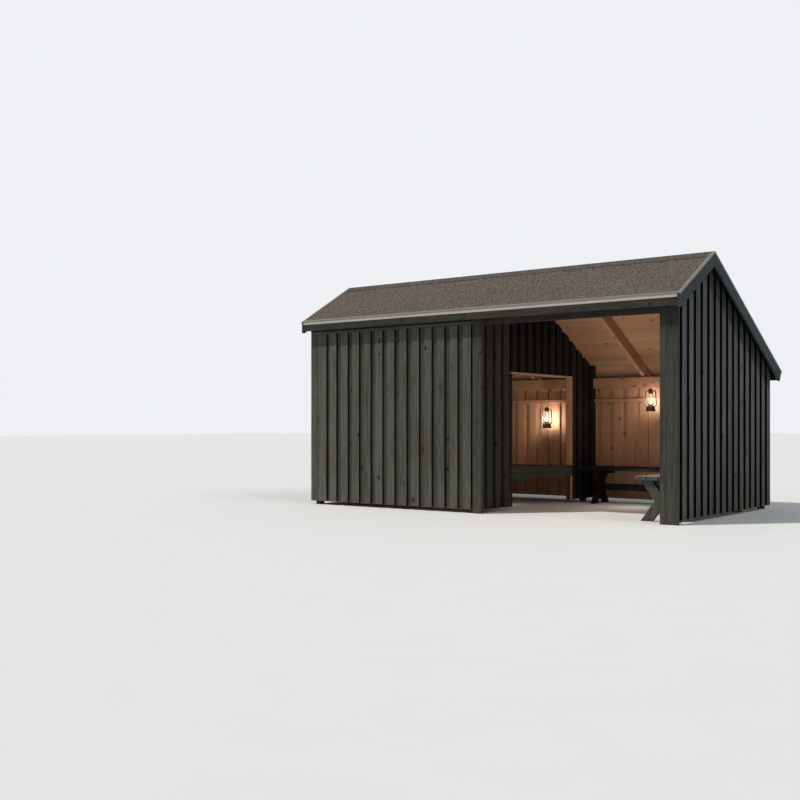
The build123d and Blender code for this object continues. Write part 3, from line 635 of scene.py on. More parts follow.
class Wall:
    """A board on board wall: where it stands, which way it faces and the stretch that it covers."""

    def __init__(self, node, faces, first, outside=None, covers_to=None, left_covers=None):
        self.node = node
        self.low, self.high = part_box(node)
        self.faces = Vector(faces)
        self.run = 0 if self.faces.y else 1
        across = 1 - self.run
        self.sign = self.faces[across]
        edge = self.high[across] if self.sign > 0 else self.low[across]
        self.outside = edge if outside is None else outside
        self.first = first
        self.covers_to = covers_to or self.high[self.run]
        self.left_covers = left_covers

    def rows(self):
        """Ranges of the cover boards and of the boards behind them."""
        s = sizes()
        start, end = self.low[self.run], self.high[self.run]
        covers, backs = [], []
        edge = self.first - s.module * (int((self.first - start) / s.module) + 2)
        while edge < end:
            spans = (
                (covers, edge, edge + s.cover, self.covers_to),
                (backs, edge + s.cover - s.lap, edge + s.module + s.lap, end),
            )
            for rows, a, b, stop in spans:
                a, b = max(a, start), min(b, stop)
                if b - a > SLIVER:
                    rows.append((a, b))
            edge += s.module
        if self.left_covers is not None:
            ends = [start + reach for reach in self.left_covers]
            covers[: len(ends)] = [(start, ends[0])] + [(a + END_GAP, b) for a, b in zip(ends, ends[1:])]
            backs[0] = (start, backs[0][1])
            backs[-1] = (backs[-1][0], end)
        return covers, backs

    def board(self, span, layer, top, picks):
        """One board of the outer layer 0 or the inner layer 1, a little uneven in its width and its face."""
        s = sizes()
        proud = picks.uniform(-0.0008, 0.0004) if layer == 0 else 0.0
        outer = self.outside - self.sign * (layer * s.board - proud)
        inner = self.outside - self.sign * (layer + 1) * s.board
        trim = picks.uniform(0.0, 0.0012)
        low, high = [0.0, 0.0, self.low.z], [0.0, 0.0, top]
        low[self.run], high[self.run] = span[0] + trim, span[1] - trim
        low[1 - self.run], high[1 - self.run] = min(outer, inner), max(outer, inner)
        piece = number_timber(timber(low, high), picks)
        # How far each point lies into the groove, for the painted shade there.
        depth = [abs(v.co[1 - self.run] - inner) / s.board for v in piece.data.vertices]
        return mark(piece, "open", depth if layer == 0 else [0.0] * len(depth))

    def build(self, stain, recess, pine, cover_top, back_top, edge=None, edge_way=-Y):
        """All boards of the wall: stained outside, bare inside. edge is the finish of the sides that look edge_way."""
        picks = random.Random(f"{self.node} {sizes().seed}")
        covers, backs = self.rows()
        boards = []
        for layer, spans, top in ((0, covers, cover_top), (1, backs, back_top)):
            for span in spans:
                board = self.board(span, layer, top, picks)
                # The recess finish paints shade on the back boards between covers and on the wall's ends; the edge
                # finish may paint shade on the covers' sides.
                dress(board, stain, recess, pine, edge or stain)
                if layer == 0:
                    face_by_side(board, -self.faces, 2, 0)
                else:
                    face_by_side(board, self.faces, 1, 2)
                for face in board.data.polygons:
                    if layer == 0 and edge and face.normal.dot(edge_way) > ASKEW:
                        face.material_index = 3
                    elif layer == 1 and self.at_end(face) and face.normal.dot(self.faces) > -FACING:
                        face.material_index = 1
                boards.append(board)
        return boards

    def at_end(self, face):
        """Whether a face lies at one of the wall's two ends."""
        return min(abs(face.center[self.run] - end[self.run]) for end in (self.low, self.high)) < AT_END


def outer_walls():
    """The four outer walls with their rows of boards."""
    s = sizes()
    front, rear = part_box("front_wall")[0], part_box("rear_wall")[0]
    frieze_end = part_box("front_frieze")[1].x
    return (
        Wall("front_wall", -Y, front.x + s.front_first, None, frieze_end, (s.corner_strip, s.corner_next)),
        Wall("left_gable_wall", -X, front.y + s.gable_first),
        Wall("right_gable_wall", X, front.y + s.gable_first),
        Wall("rear_wall", Y, rear.x + s.rear_first, left_covers=(s.rear_first + s.cover,)),
    )


class SHELTER_OT_clad_walls(Operator):
    """Board the outer walls: cover boards outside, spaced boards behind them"""

    bl_idname = "shelter.clad_walls"
    bl_label = "Clad Walls"

    def execute(self, context):
        c = colours()
        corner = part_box("right_gable_wall")[1].x - OUTER_EDGE
        pine = bare("pine_wall_inside", c.pine, bands=both_ends(corner, corner + 0.002, DARK))
        # Lighter towards the open left end, painted light, and lighter towards the ground.
        wear_and_painted_light = [("X", -1.2, -2.3, 1.18), ("Z", 0.9, 0.0, 1.14)]
        shaded = [("Z", 1.5, 2.3, 0.70)]
        front_stain = stained("stain_front", c.stain, groove=0.12, level=1.02, bands=wear_and_painted_light)
        # The back boards between the covers take a darker copy of the stain: painted shade in the recesses.
        front_recess = stained("stain_front_recess", c.stain, level=0.72)
        # Near-black stain on the cover boards' sides: painted shade along the grooves.
        gap = stained("painted_shade_stain_board_sides", c.stain, level=0.05)
        rear_stain = stained("stain_rear", c.painted_skylight_gable_stain, groove=0.05, level=1.10, low=c.stain, bands=shaded)
        fall = math.tan(sizes().rear_pitch)
        verge = ridge().z + fall * ridge().y - VERGE_SHADE
        shaded.append(((0.0, fall, 1.0), verge - 0.10, verge, 0.24))
        side_stain = stained("stain_gable", c.painted_skylight_gable_stain, groove=0.05, level=1.10, low=c.stain, bands=shaded)
        # Painted shade in the recesses of the gables and the rear.
        side_recess = stained("painted_shade_stain_gable_recess", c.painted_skylight_gable_stain, level=0.55, low=c.stain)
        # Near-black stain on the gables' board sides: painted shade filling the grooves.
        side_gap = stained("painted_shade_stain_gable_board_sides", c.painted_skylight_gable_stain, level=0.03)
        front, left, right, rear = outer_walls()
        boards = front.build(front_stain, front_recess, pine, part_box("front_frieze")[0].z, front.high.z, gap, X)
        stands_for(joined(boards, "front_wall_boards"), "dark_cladding", "front_wall")
        for wall in (left, right):
            boards = wall.build(side_stain, side_recess, pine, ridge().z, ridge().z, side_gap)
            piece = saw_to_roof(joined(boards, f"{wall.node}_boards"))
            stands_for(piece, "dark_cladding", wall.node)
        boards = rear.build(rear_stain, side_recess, pine, rear.high.z, rear.high.z)
        stands_for(joined(boards, "rear_wall_boards"), "dark_cladding", "rear_wall")
        return {"FINISHED"}


class SHELTER_OT_clad_partition(Operator):
    """Board the wall between the room and the bay, beside and over its doorway"""

    bl_idname = "shelter.clad_partition"
    bl_label = "Clad Partition"

    def execute(self, context):
        s, c = sizes(), colours()
        pine = bare("pine_partition_inside", c.pine)
        face_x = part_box("partition_front")[1].x
        face_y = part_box("front_wall")[0].y
        picks = random.Random(s.seed)
        # The levels are painted shade of the bay: each part is the front stain darkened, the head most, and its
        # recesses darker still.
        for node, level in (("partition_front", 0.46), ("partition_head", 0.14), ("partition_rear", 0.26)):
            stain = stained(f"stain_{node}", c.stain, groove=0.05, level=level)
            lit = stained(f"stain_{node}_edges", c.stain, level=level)
            recess = stained(f"stain_{node}_recess", c.stain, level=level * 0.3)
            wall = Wall(node, X, face_y + s.partition_first, outside=face_x)
            boards = wall.build(stain, recess, pine, ridge().z, ridge().z, lit)
            if node == "partition_rear":
                corner = (face_x, wall.high.y - s.corner_batten, wall.low.z)
                boards.append(plank(corner, (wall.high.x, wall.high.y, ridge().z), lit, picks))
            piece = saw_to_roof(joined(boards, f"{node}_boards"))
            stands_for(piece, "dark_cladding", node)
        return {"FINISHED"}


# Roof

ROOF_EASE = 0.0026  # along the edges of the roof boards
# Past the rear wall, the outer rafters' tails and the roof boards over them get painted shade.
OUTER_RAFTERS = (2.05, 2.06)  # on X, between the outer rafters and the next ones
VERGE_INSIDE = 0.015  # from the gables' outside inwards, where the roof boards' shade begins
SUNNY_STRIP = 1.7  # how much lighter the boards are over the rear plate
RIDGE_FELT = (0.82, 0.87, 0.96)
VERGE_METAL = (0.41, 0.40, 0.38)
LAP_DEPTH = 0.038  # height of the folded sheet under its top
WAVE, WAVES = 0.0011, (2.1, 3.0)  # height of the felt's waves, and how many to the metre on X and down the slope
FELT_LIFT = 0.0009  # keeps the waves clear of the boards


class SHELTER_OT_lay_roof_boards(Operator):
    """Lay the roof boards from the ridge down both slopes"""

    bl_idname = "shelter.lay_roof_boards"
    bl_label = "Lay Roof Boards"

    def execute(self, context):
        s, c = sizes(), colours()
        picks = random.Random(s.seed)
        top = s.edge_metal + s.felt
        verge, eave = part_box("right_gable_wall")[1].x - VERGE_INSIDE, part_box("rear_wall")[1].y
        bands = both_ends(verge, verge + 0.01, DARK)
        # Painted shade on the roof boards over the outer rafters, past the rear wall.
        bands += both_ends(*OUTER_RAFTERS, ("Y", eave - 0.01, eave, 0.04))
        bands.append(("Y", eave - 0.06, eave - 0.03, SUNNY_STRIP))
        for side, pitch, tilt, down in slopes():
            node = f"{side}_roof_boards"
            low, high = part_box(node)
            pine = bare(f"pine_{node}", c.pine, "X", tilt, bands=bands)
            reach = (high.y - ridge().y + top * math.sin(pitch)) / math.cos(pitch)
            if side == "front":
                reach = (ridge().y - low.y) / math.cos(pitch) + s.roof_board
            boards = []
            for start, end in side_by_side(-s.roof_board, reach, s.roof_board_width, 0.001):
                corner = (low.x, start, -top - s.roof_board)
                boards.append(plank(corner, (high.x, end, -top), pine, picks, ROOF_EASE))
            piece = joined(boards, f"{node}_laid")
            piece.data.transform(slope(side))
            saw(piece, ridge(), -down)
            if side == "front":
                saw(piece, low, down)
            stands_for(piece, "pine_boards", node)
        return {"FINISHED"}


class SHELTER_OT_lay_felt(Operator):
    """Lay the roofing felt in courses, each lapping over the one below"""

    bl_idname = "shelter.lay_felt"
    bl_label = "Lay Felt"

    def execute(self, context):
        s, c = sizes(), colours()
        granules = mineral_felt("felt_granules", c.felt)
        for side, pitch, _, down in slopes():
            node = f"{side}_felt"
            low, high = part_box(node)
            reach = (high.y - ridge().y + s.edge_metal * math.sin(pitch)) / math.cos(pitch)
            if side == "front":
                reach = (ridge().y - low.y) / math.cos(pitch) + s.felt / 3
            count = max(1, round(reach / s.felt_roll))
            cover = reach / count
            courses = []
            for k in range(count):
                end = min((k + 1) * cover + s.felt_lap, reach)
                courses.append(self.course(low.x, high.x, k * cover, end, k == count - 1))
            piece = dress(joined(courses, f"{node}_laid"), granules)
            piece.data.transform(slope(side))
            saw(piece, ridge(), -down)
            stands_for(piece, "roof_felt", node)
        cap = mineral_felt("felt_ridge_granules", tinted(c.felt, RIDGE_FELT))
        ease_cad(cap, "ridge_strip", ease=0.0025)
        return {"FINISHED"}

    def course(self, left, right, start, end, last):
        """One course: flat under the course above, and raised where it lies on the course below."""
        s = sizes()
        sheet = s.felt / 2
        middle = ((left + right) / 2, (start + end) / 2, -s.edge_metal - s.felt)
        bpy.ops.mesh.primitive_grid_add(x_subdivisions=150, y_subdivisions=18, size=1.0, location=middle)
        bpy.ops.transform.resize(value=(right - left, end - start, 1.0), center_override=middle)
        piece = settle(bpy.context.object)
        for vertex in piece.data.vertices:
            x, y, z = vertex.co
            lift = 0.0 if last else 1.0 - min(1.0, (end - y) / s.felt_lap)
            wave = noise.noise(Vector((x * WAVES[0], y * WAVES[1], start))) * WAVE
            vertex.co.z = z + sheet * lift + sheet + wave + FELT_LIFT
        only(piece)
        thick = piece.modifiers.new("thickness", "SOLIDIFY")
        thick.thickness = sheet
        thick.offset = -1.0
        bpy.ops.object.modifier_apply(modifier=thick.name)
        return piece


class SHELTER_OT_finish_edges(Operator):
    """Finish the fascias, bargeboards and the folded metal over the roof's edges"""

    bl_idname = "shelter.finish_edges"
    bl_label = "Finish Edges"

    def execute(self, context):
        c = colours()
        ease_cad(stained("stain_fascia", c.stain, "X", cells=(9, 2, 9), level=0.47), "fascia_boards")
        dull = painted_sheet("sheet_metal_verges", tinted(c.metal, VERGE_METAL))
        for side, _, tilt, _ in slopes():
            stain = stained(f"stain_{side}_bargeboard", c.trim_stain, "Y", tilt, cells=(2, 9, 9))
            ease_cad(stain, f"{side}_bargeboards")
            dress(NODES[f"{side}_verge_trims"], dull)
        low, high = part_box("drip_edges")
        lap = (low.y, high.z - LAP_DEPTH, c.felt)
        dress(NODES["drip_edges"], painted_sheet("sheet_metal_eaves", c.metal, lap))
        return {"FINISHED"}


def ease_cad(material, *nodes, ease=0.003):
    """Finish for CAD timbers, with their sharp edges eased by live modifiers."""
    for node in nodes:
        piece = dress(NODES[node], material)
        piece.modifiers.new("merge", "WELD").merge_threshold = 0.00005
        edge = piece.modifiers.new("ease", "BEVEL")
        edge.width = ease
        edge.segments = 2
        edge.limit_method = "ANGLE"
        edge.angle_limit = math.radians(40)


JAMB_NUMBER = 0.4  # the same over and under the bunk's board, so each jamb reads as one timber


class SHELTER_OT_finish_frame(Operator):
    """Finish the posts, beams, rails, rafters, corner boards and the doorway's lining"""

    bl_idname = "shelter.finish_frame"
    bl_label = "Finish Frame"

    def execute(self, context):
        c = colours()
        foot = [("Z", 0.072, 0.060, 0.04)]
        upright = bare("pine_uprights", c.pine, "Z", cells=(0.5, 0.9, 9), bands=foot)
        ease_cad(upright, "front_posts", "rear_posts")
        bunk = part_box("bunk_front_board")[0].z
        # Painted shade on the studs under the bunk.
        under = [("Z", bunk + 0.012, bunk, 0.15)]
        ease_cad(bare("pine_studs", c.pine, "Z", cells=(0.5, 0.9, 9), bands=under), "partition_studs")
        level = bare("pine_level_timbers", c.pine, "X", cells=(9, 0.5, 0.3))
        ease_cad(level, "wall_rails", "rear_plate", "ridge_board")
        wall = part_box("rear_wall")[1].y
        # Painted shade on the outer rafters' tails, past the rear wall.
        tails = both_ends(*OUTER_RAFTERS, ("Y", wall, wall + 0.01, DARK))
        for (side, _, tilt, _), bands in zip(slopes(), ((), tails)):
            node = f"{side}_rafters"
            ease_cad(bare(f"pine_{node}", c.pine, "Y", tilt, cells=(0.31, 9, 9), bands=bands), node)
        # The beam's stain is darkened: painted shade in the recess under the fascia.
        ease_cad(stained("painted_shade_stain_beam", c.stain, "X", cells=(9, 9, 9), level=0.42), "front_beam")
        # Painted shade of the eave towards the top, and lighter towards the ground.
        fades = [("Z", 1.70, 1.85, 0.75), ("Z", 0.9, 0.0, 1.18)]
        corner = stained("stain_corner_boards", c.stain, "Z", cells=(0.7, 9, 9), level=0.66, bands=fades)
        ease_cad(corner, "corner_boards")
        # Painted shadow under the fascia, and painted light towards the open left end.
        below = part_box("front_frieze")[0].z + 0.024
        shadow = [("Z", below, below + 0.008, 0.10), ("X", -1.2, -2.3, 1.2)]
        ease_cad(stained("stain_frieze", c.stain, "X", cells=(9, 9, 9), bands=shadow), "front_frieze")
        ease_cad(bare("pine_lining_head", c.pine, "Y", cells=(9, 9, 9)), "doorway_head")
        self.line_doorway(bare("pine_lining", tinted(c.pine, (1.12,) * 3)))
        return {"FINISHED"}

    def line_doorway(self, lining):
        """The doorway's jambs, over and under the bunk's front board; the front ones are stained on their edge."""
        low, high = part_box("doorway_jambs")
        board_low, board_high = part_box("bunk_front_board")
        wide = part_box("doorway_head")[0].x
        thick = sizes().lining
        stain = stained("stain_jamb_edge", colours().stain, level=0.5)
        jambs = []
        for y, inwards in ((low.y, Y), (high.y - thick, None)):
            for x, bottom, top in ((wide, board_high.z, high.z), (board_low.x, low.z, board_low.z)):
                jamb = timber((x, y, bottom), (high.x, y + thick, top), 0.002)
                mark(jamb, "board", [JAMB_NUMBER] * len(jamb.data.vertices))
                dress(jamb, lining, stain)
                if inwards:
                    face_by_side(jamb, inwards, 0, 1)
                jambs.append(jamb)
        stands_for(joined(jambs, "doorway_jamb_boards"), "pine_boards", "doorway_jambs")


DECK_GAP, DECK_EASE = 0.004, 0.003  # between the bunk's boards and along their edges


class SHELTER_OT_build_bunk(Operator):
    """Lay the bunk's boards on their joists and finish the board across the doorway"""

    bl_idname = "shelter.build_bunk"
    bl_label = "Build Bunk"

    def execute(self, context):
        s, c = sizes(), colours()
        picks = random.Random(s.seed + 1)
        pine = stained("stain_bunk_deck", c.bench_stain, "X", level=0.40)
        low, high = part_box("bunk_deck")
        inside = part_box("bunk_joists")[1].x
        door_low, door_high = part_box("bunk_front_board")
        boards = []
        for start, end in side_by_side(low.y, high.y, s.deck_board, 0.02):
            between = start >= door_low.y + s.lining and end <= door_high.y - s.lining
            reach = high.x if between else inside
            corner = (low.x, start + DECK_GAP / 2, low.z)
            boards.append(plank(corner, (reach, end - DECK_GAP / 2, high.z), pine, picks, DECK_EASE))
        stands_for(joined(boards, "bunk_boards"), "pine_boards", "bunk_deck")
        ease_cad(bare("pine_joists", c.pine, "Y", cells=(0.3, 9, 9), level=0.8), "bunk_joists")
        ease_cad(stained("stain_bunk_board", c.bench_stain, "Y", cells=(9, 9, 9), level=0.62), "bunk_front_board")
        return {"FINISHED"}


class SHELTER_OT_finish_benches(Operator):
    """Finish the seats, crossed legs, cleats and stretchers of both benches"""

    bl_idname = "shelter.finish_benches"
    bl_label = "Finish Benches"

    def execute(self, context):
        c = colours()
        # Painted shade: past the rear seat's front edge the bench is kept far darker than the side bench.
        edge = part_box("rear_bench_seat")[0].y - 0.015
        back = [("Y", edge - 0.01, edge + 0.01, DARK)]
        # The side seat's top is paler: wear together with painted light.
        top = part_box("side_bench_seat")[1].z
        along_x = stained("stain_bench_lengthwise", c.bench_stain, "X", cells=(9, 0.1235, 9), bands=back)
        along_y = stained("stain_bench_crosswise", c.bench_stain, "Y", cells=(0.126, 9, 9), bands=back, worn_and_lit_top=top)
        legs = stained("stain_bench_legs", c.bench_stain, "Z", cells=(0.4, 0.4, 9), bands=back)
        ease_cad(along_x, "rear_bench_seat", "bench_stretchers")
        ease_cad(along_y, "side_bench_seat", "bench_cleats")
        ease_cad(legs, "bench_legs_leaning_back", "bench_legs_leaning_front")
        return {"FINISHED"}


SCREW_HEIGHT = 0.0024
SCREW_PLACES = (0.22, 0.78)  # across a cover board
FROM_RAIL_EDGE = 0.02


class SHELTER_OT_drive_screws(Operator):
    """Drive screws through the cover boards at the rails, two to a crossing"""

    bl_idname = "shelter.drive_screws"
    bl_label = "Drive Screws"

    def execute(self, context):
        radius = sizes().screw
        bpy.ops.mesh.primitive_cylinder_add(vertices=8, radius=radius, depth=SCREW_HEIGHT, location=(0, 0, 0))
        head = edit(bpy.context.object, bpy.ops.mesh.bevel, offset=radius * 0.25, segments=1, affect="EDGES")
        dress(head, screw_head("screw_heads"))
        low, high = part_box("wall_rails")
        heights = (low.z + FROM_RAIL_EDGE, high.z - FROM_RAIL_EDGE)
        heads = []
        for wall in outer_walls():
            turn = Z.rotation_difference(wall.faces).to_matrix().to_4x4()
            for start, end in wall.rows()[0]:
                for share in SCREW_PLACES:
                    for height in heights:
                        spot = Vector((0, 0, height))
                        spot[wall.run] = start + (end - start) * share
                        spot[1 - wall.run] = wall.outside
                        heads.append(copy_of(head, Matrix.Translation(spot) @ turn))
        stands_for(joined([head] + heads, "cladding_screws"), "dark_cladding")
        return {"FINISHED"}


# Lanterns

TANK_RADIUS, LANTERN_HEIGHT, FLAME_HEIGHT = 0.058, 0.268, 0.112
HOOK_WIRE, BAIL_WIRE, GUARD_WIRE, STEM_WIRE, GLASS = 0.003, 0.0022, 0.0012, 0.0018, 0.0018


def lantern_feet(tank, height, wire):
    """Middle of the foot of the room's lantern and of the bay's, for a tank's radius, a height and a hook's wire."""
    low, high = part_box("lantern_frames")
    hook_low, hook_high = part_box("lantern_hooks")
    return (
        Vector((hook_low.x + wire, high.y - tank, low.z)),
        Vector((hook_high.x - wire, low.y + tank, high.z - height)),
    )


def in_metres(*points):
    """Points from millimetres."""
    return [tuple(part / 1000 for part in point) for point in points]


def lathe(*steps, sides=32):
    """Turned piece about +Z through (radius, height) steps in millimetres, closed at both ends."""
    profile = in_metres(*steps)
    radius, height = profile[0]
    bpy.ops.mesh.primitive_circle_add(vertices=sides, radius=radius, fill_type="NGON", location=(0, 0, height))
    piece = settle(bpy.context.object)
    bpy.ops.object.mode_set(mode="EDIT")
    bpy.ops.mesh.select_all(action="SELECT")
    for next_radius, next_height in profile[1:]:
        bpy.ops.mesh.extrude_region_move(TRANSFORM_OT_translate={"value": (0, 0, next_height - height)})
        share = next_radius / radius
        bpy.ops.transform.resize(value=(share, share, 1.0), center_override=(0, 0, next_height))
        radius, height = next_radius, next_height
    bpy.ops.mesh.select_all(action="SELECT")
    bpy.ops.mesh.normals_make_consistent(inside=False)
    bpy.ops.object.mode_set(mode="OBJECT")
    only(piece)
    bpy.ops.object.shade_smooth_by_angle(angle=math.radians(35))
    return piece


def bent_wire(points, radius, closed=False):
    """Round wire or tube along a smooth line through the points."""
    bpy.ops.curve.primitive_nurbs_path_add(location=(0, 0, 0))
    curve = bpy.context.object
    curve.data.splines.clear()
    spline = curve.data.splines.new("NURBS")
    spline.points.add(len(points) - 1)
    for spot, point in zip(spline.points, points):
        spot.co = (*point, 1.0)
    spline.order_u = 4
    spline.use_cyclic_u = closed
    spline.use_endpoint_u = not closed
    curve.data.bevel_depth = radius
    curve.data.bevel_resolution = 2
    curve.data.resolution_u = 4
    curve.data.use_fill_caps = True
    only(curve)
    bpy.ops.object.convert(target="MESH")
    piece = bpy.context.object
    bpy.ops.object.shade_smooth_by_angle(angle=math.radians(50))
    return piece


class SHELTER_OT_hang_lanterns(Operator):
    """Build one storm lantern and hang it on both hooks"""

    bl_idname = "shelter.hang_lanterns"
    bl_label = "Hang Lanterns"

    tank: length("Tank radius", "Radius of the fuel tank", TANK_RADIUS)
    height: length("Height", "From the tank's foot to the hood's top", LANTERN_HEIGHT)
    tube: length("Tube radius", "Radius of a side tube", 0.0066)
    wire: length("Hook wire", "Radius of a hook's wire", HOOK_WIRE)

    def execute(self, context):
        c = colours()
        enamel = lantern_paint("lantern_enamel", c.lantern)
        wire = steel_wire("lantern_wire")
        metal = joined([dress(part, enamel) for part in self.metal_parts()], "lantern_metal_parts")
        globe = dress(self.globe_part(), lantern_glass("lantern_clear_glass"))
        flame = dress(self.flame_part(), flame_light("lantern_flame", c.glow))
        guard = dress(joined(self.guard_parts(), "lantern_guard_wires"), wire)
        spots = lantern_feet(self.tank, self.height, self.wire)
        bail = dress(self.bail_part(), wire)
        walls = (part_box("lantern_hooks")[1].y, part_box("rear_plate")[0].y)
        hooks = [dress(self.hook_part(spot, wall), wire) for spot, wall in zip(spots, walls)]
        kinds = (
            (metal, "lantern_bodies", "lantern_metal", ["lantern_frames"]),
            (globe, "lantern_globes", "lantern_glass", ["lantern_glasses"]),
            (flame, "lantern_flames", "lantern_glass", []),
            (guard, "lantern_guards", "lantern_wire", []),
            (bail, "lantern_handles", "lantern_wire", ["lantern_bails"]),
        )
        for part, name, slot, nodes in kinds:
            pair = joined([copy_of(part, Matrix.Translation(spot)) for spot in spots], name)
            bpy.data.objects.remove(part)
            stands_for(pair, slot, *nodes)
            pair.visible_shadow = slot != "lantern_glass"
        stands_for(joined(hooks, "lantern_wall_hooks"), "lantern_wire", "lantern_hooks")
        return {"FINISHED"}

    def metal_parts(self):
        """Tank, burner, hood, filler cap, wick knob and the two side tubes."""
        tank = lathe(
            (54, 0), (57.5, 2), (58, 5), (57, 9), (53, 26), (49, 42), (46.5, 50), (42, 56), (33, 60), (25, 63),
            (23.5, 70), (24, 76), (27.2, 79), (27.2, 83), (8, 84),
        )
        hood = lathe(
            (10, 200), (20.5, 201), (27.5, 206), (29, 211), (26.2, 217), (25, 231), (29.5, 236), (32, 241),
            (31, 244), (23, 252), (15, 260), (11, 266), (3, 268),
        )
        cap = lathe((9, 0), (10, 2), (10, 9), (8, 11), sides=16)
        cap.data.transform(Matrix.Translation((0.022, -0.026, 0.055)) @ Matrix.Rotation(0.5, 4, "X"))
        knob = lathe((6.5, 0), (7.5, 1), (7.5, 5), (6, 6), sides=16)
        knob.data.transform(Matrix.Translation((0.0, -0.040, 0.071)) @ Matrix.Rotation(math.pi / 2, 4, "X"))
        stem = bent_wire(in_metres((0, -20, 71), (0, -28, 71), (0, -34, 71), (0, -41, 71)), STEM_WIRE)
        side = in_metres(
            (34, 56), (52, 58), (69, 64), (71, 82), (66.5, 130), (62, 190), (59, 232), (50, 240.5), (34, 240),
            (22, 240),
        )
        tubes = [bent_wire([(way * x, 0, z) for x, z in side], self.tube) for way in (-1, 1)]
        return [tank, hood, cap, knob, stem] + tubes

    def globe_part(self):
        """Clear glass globe, open at its foot and neck."""
        piece = lathe(
            (26.5, 83.2), (31.5, 92), (34.8, 102), (37, 112), (38, 124), (37.8, 134), (36.5, 144), (34.5, 154),
            (31.8, 165), (28.5, 176), (24.5, 188), (20, 200.4),
            sides=40,
        )
        bpy.ops.object.mode_set(mode="EDIT")
        bpy.ops.mesh.select_mode(type="FACE")
        bpy.ops.mesh.select_all(action="DESELECT")
        bpy.ops.mesh.select_face_by_sides(number=4, type="GREATER")
        bpy.ops.mesh.delete(type="ONLY_FACE")
        bpy.ops.mesh.select_mode(type="VERT")
        bpy.ops.object.mode_set(mode="OBJECT")
        wall = piece.modifiers.new("wall", "SOLIDIFY")
        wall.thickness = GLASS
        wall.offset = -1.0
        bpy.ops.object.modifier_apply(modifier=wall.name)
        return piece

    def flame_part(self):
        """Flame on the burner."""
        return lathe((2, 84.5), (7, 90), (9.5, 100), (8.5, 112), (5, 126), (1.2, 138), sides=16)

    def guard_parts(self):
        """Wires that guard the glass: two rings and four uprights."""
        wires = []
        for reach, height in ((0.0425, 0.118), (0.0375, 0.160)):
            turns = [k * math.pi / 6 for k in range(12)]
            ring = [(reach * math.cos(turn), reach * math.sin(turn), height) for turn in turns]
            wires.append(bent_wire(ring, GUARD_WIRE, closed=True))
        for k in range(4):
            x, y = math.cos((k + 0.5) * math.pi / 2), math.sin((k + 0.5) * math.pi / 2)
            steps = in_metres((27, 80), (40, 98), (43.5, 122), (39.5, 158), (29, 190), (26, 206))
            wires.append(bent_wire([(x * r, y * r, z) for r, z in steps], GUARD_WIRE))
        return wires

    def bail_part(self):
        """Wire handle, outside the side tubes and over the hook."""
        low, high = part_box("lantern_bails")
        body_low, body_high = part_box("lantern_frames")
        half = high.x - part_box("lantern_hooks")[1].x + self.wire - BAIL_WIRE
        foot = low.z - body_low.z
        between = body_high.z - body_low.z - self.height
        top = foot + high.z - low.z - between - BAIL_WIRE
        right = [(0.3, top), (0.82, top - 0.006), (1, top - 0.040), (1, foot + 0.04), (1, foot)]
        left = [(-share, height) for share, height in reversed(right)]
        return bent_wire([(half * share, 0, height) for share, height in left + right], BAIL_WIRE)

    def hook_part(self, spot, wall):
        """Hook of thick wire out of the timber behind, turned up at its end."""
        top = spot.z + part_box("lantern_hooks")[0].z + self.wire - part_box("lantern_frames")[0].z
        reach = spot.y - 0.014
        path = [
            (spot.x, wall, top), (spot.x, wall - 0.03, top), (spot.x, reach + 0.030, top), (spot.x, reach + 0.006, top),
            (spot.x, reach, top + 0.006), (spot.x, reach, top + 0.014),
        ]
        return bent_wire(path, self.wire)


# Stage

SKY_LIGHT, SKY_SEEN = (0.27, 0.285, 0.31), (0.86, 0.88, 0.90)
SKY_RAYS = ("Camera", "Glossy", "Transmission")  # rays that see the paler sky
FLOOR_SIZE, FLOOR_AT = 160.0, (0, 30, -0.0005)
DAYLIGHT, SIDE_LIGHT = (1.0, 0.96, 0.90), (0.92, 0.96, 1.0)
ROOM_LIGHT, PALE_LIGHT = (1.0, 0.94, 0.72), (1.0, 0.95, 0.87)


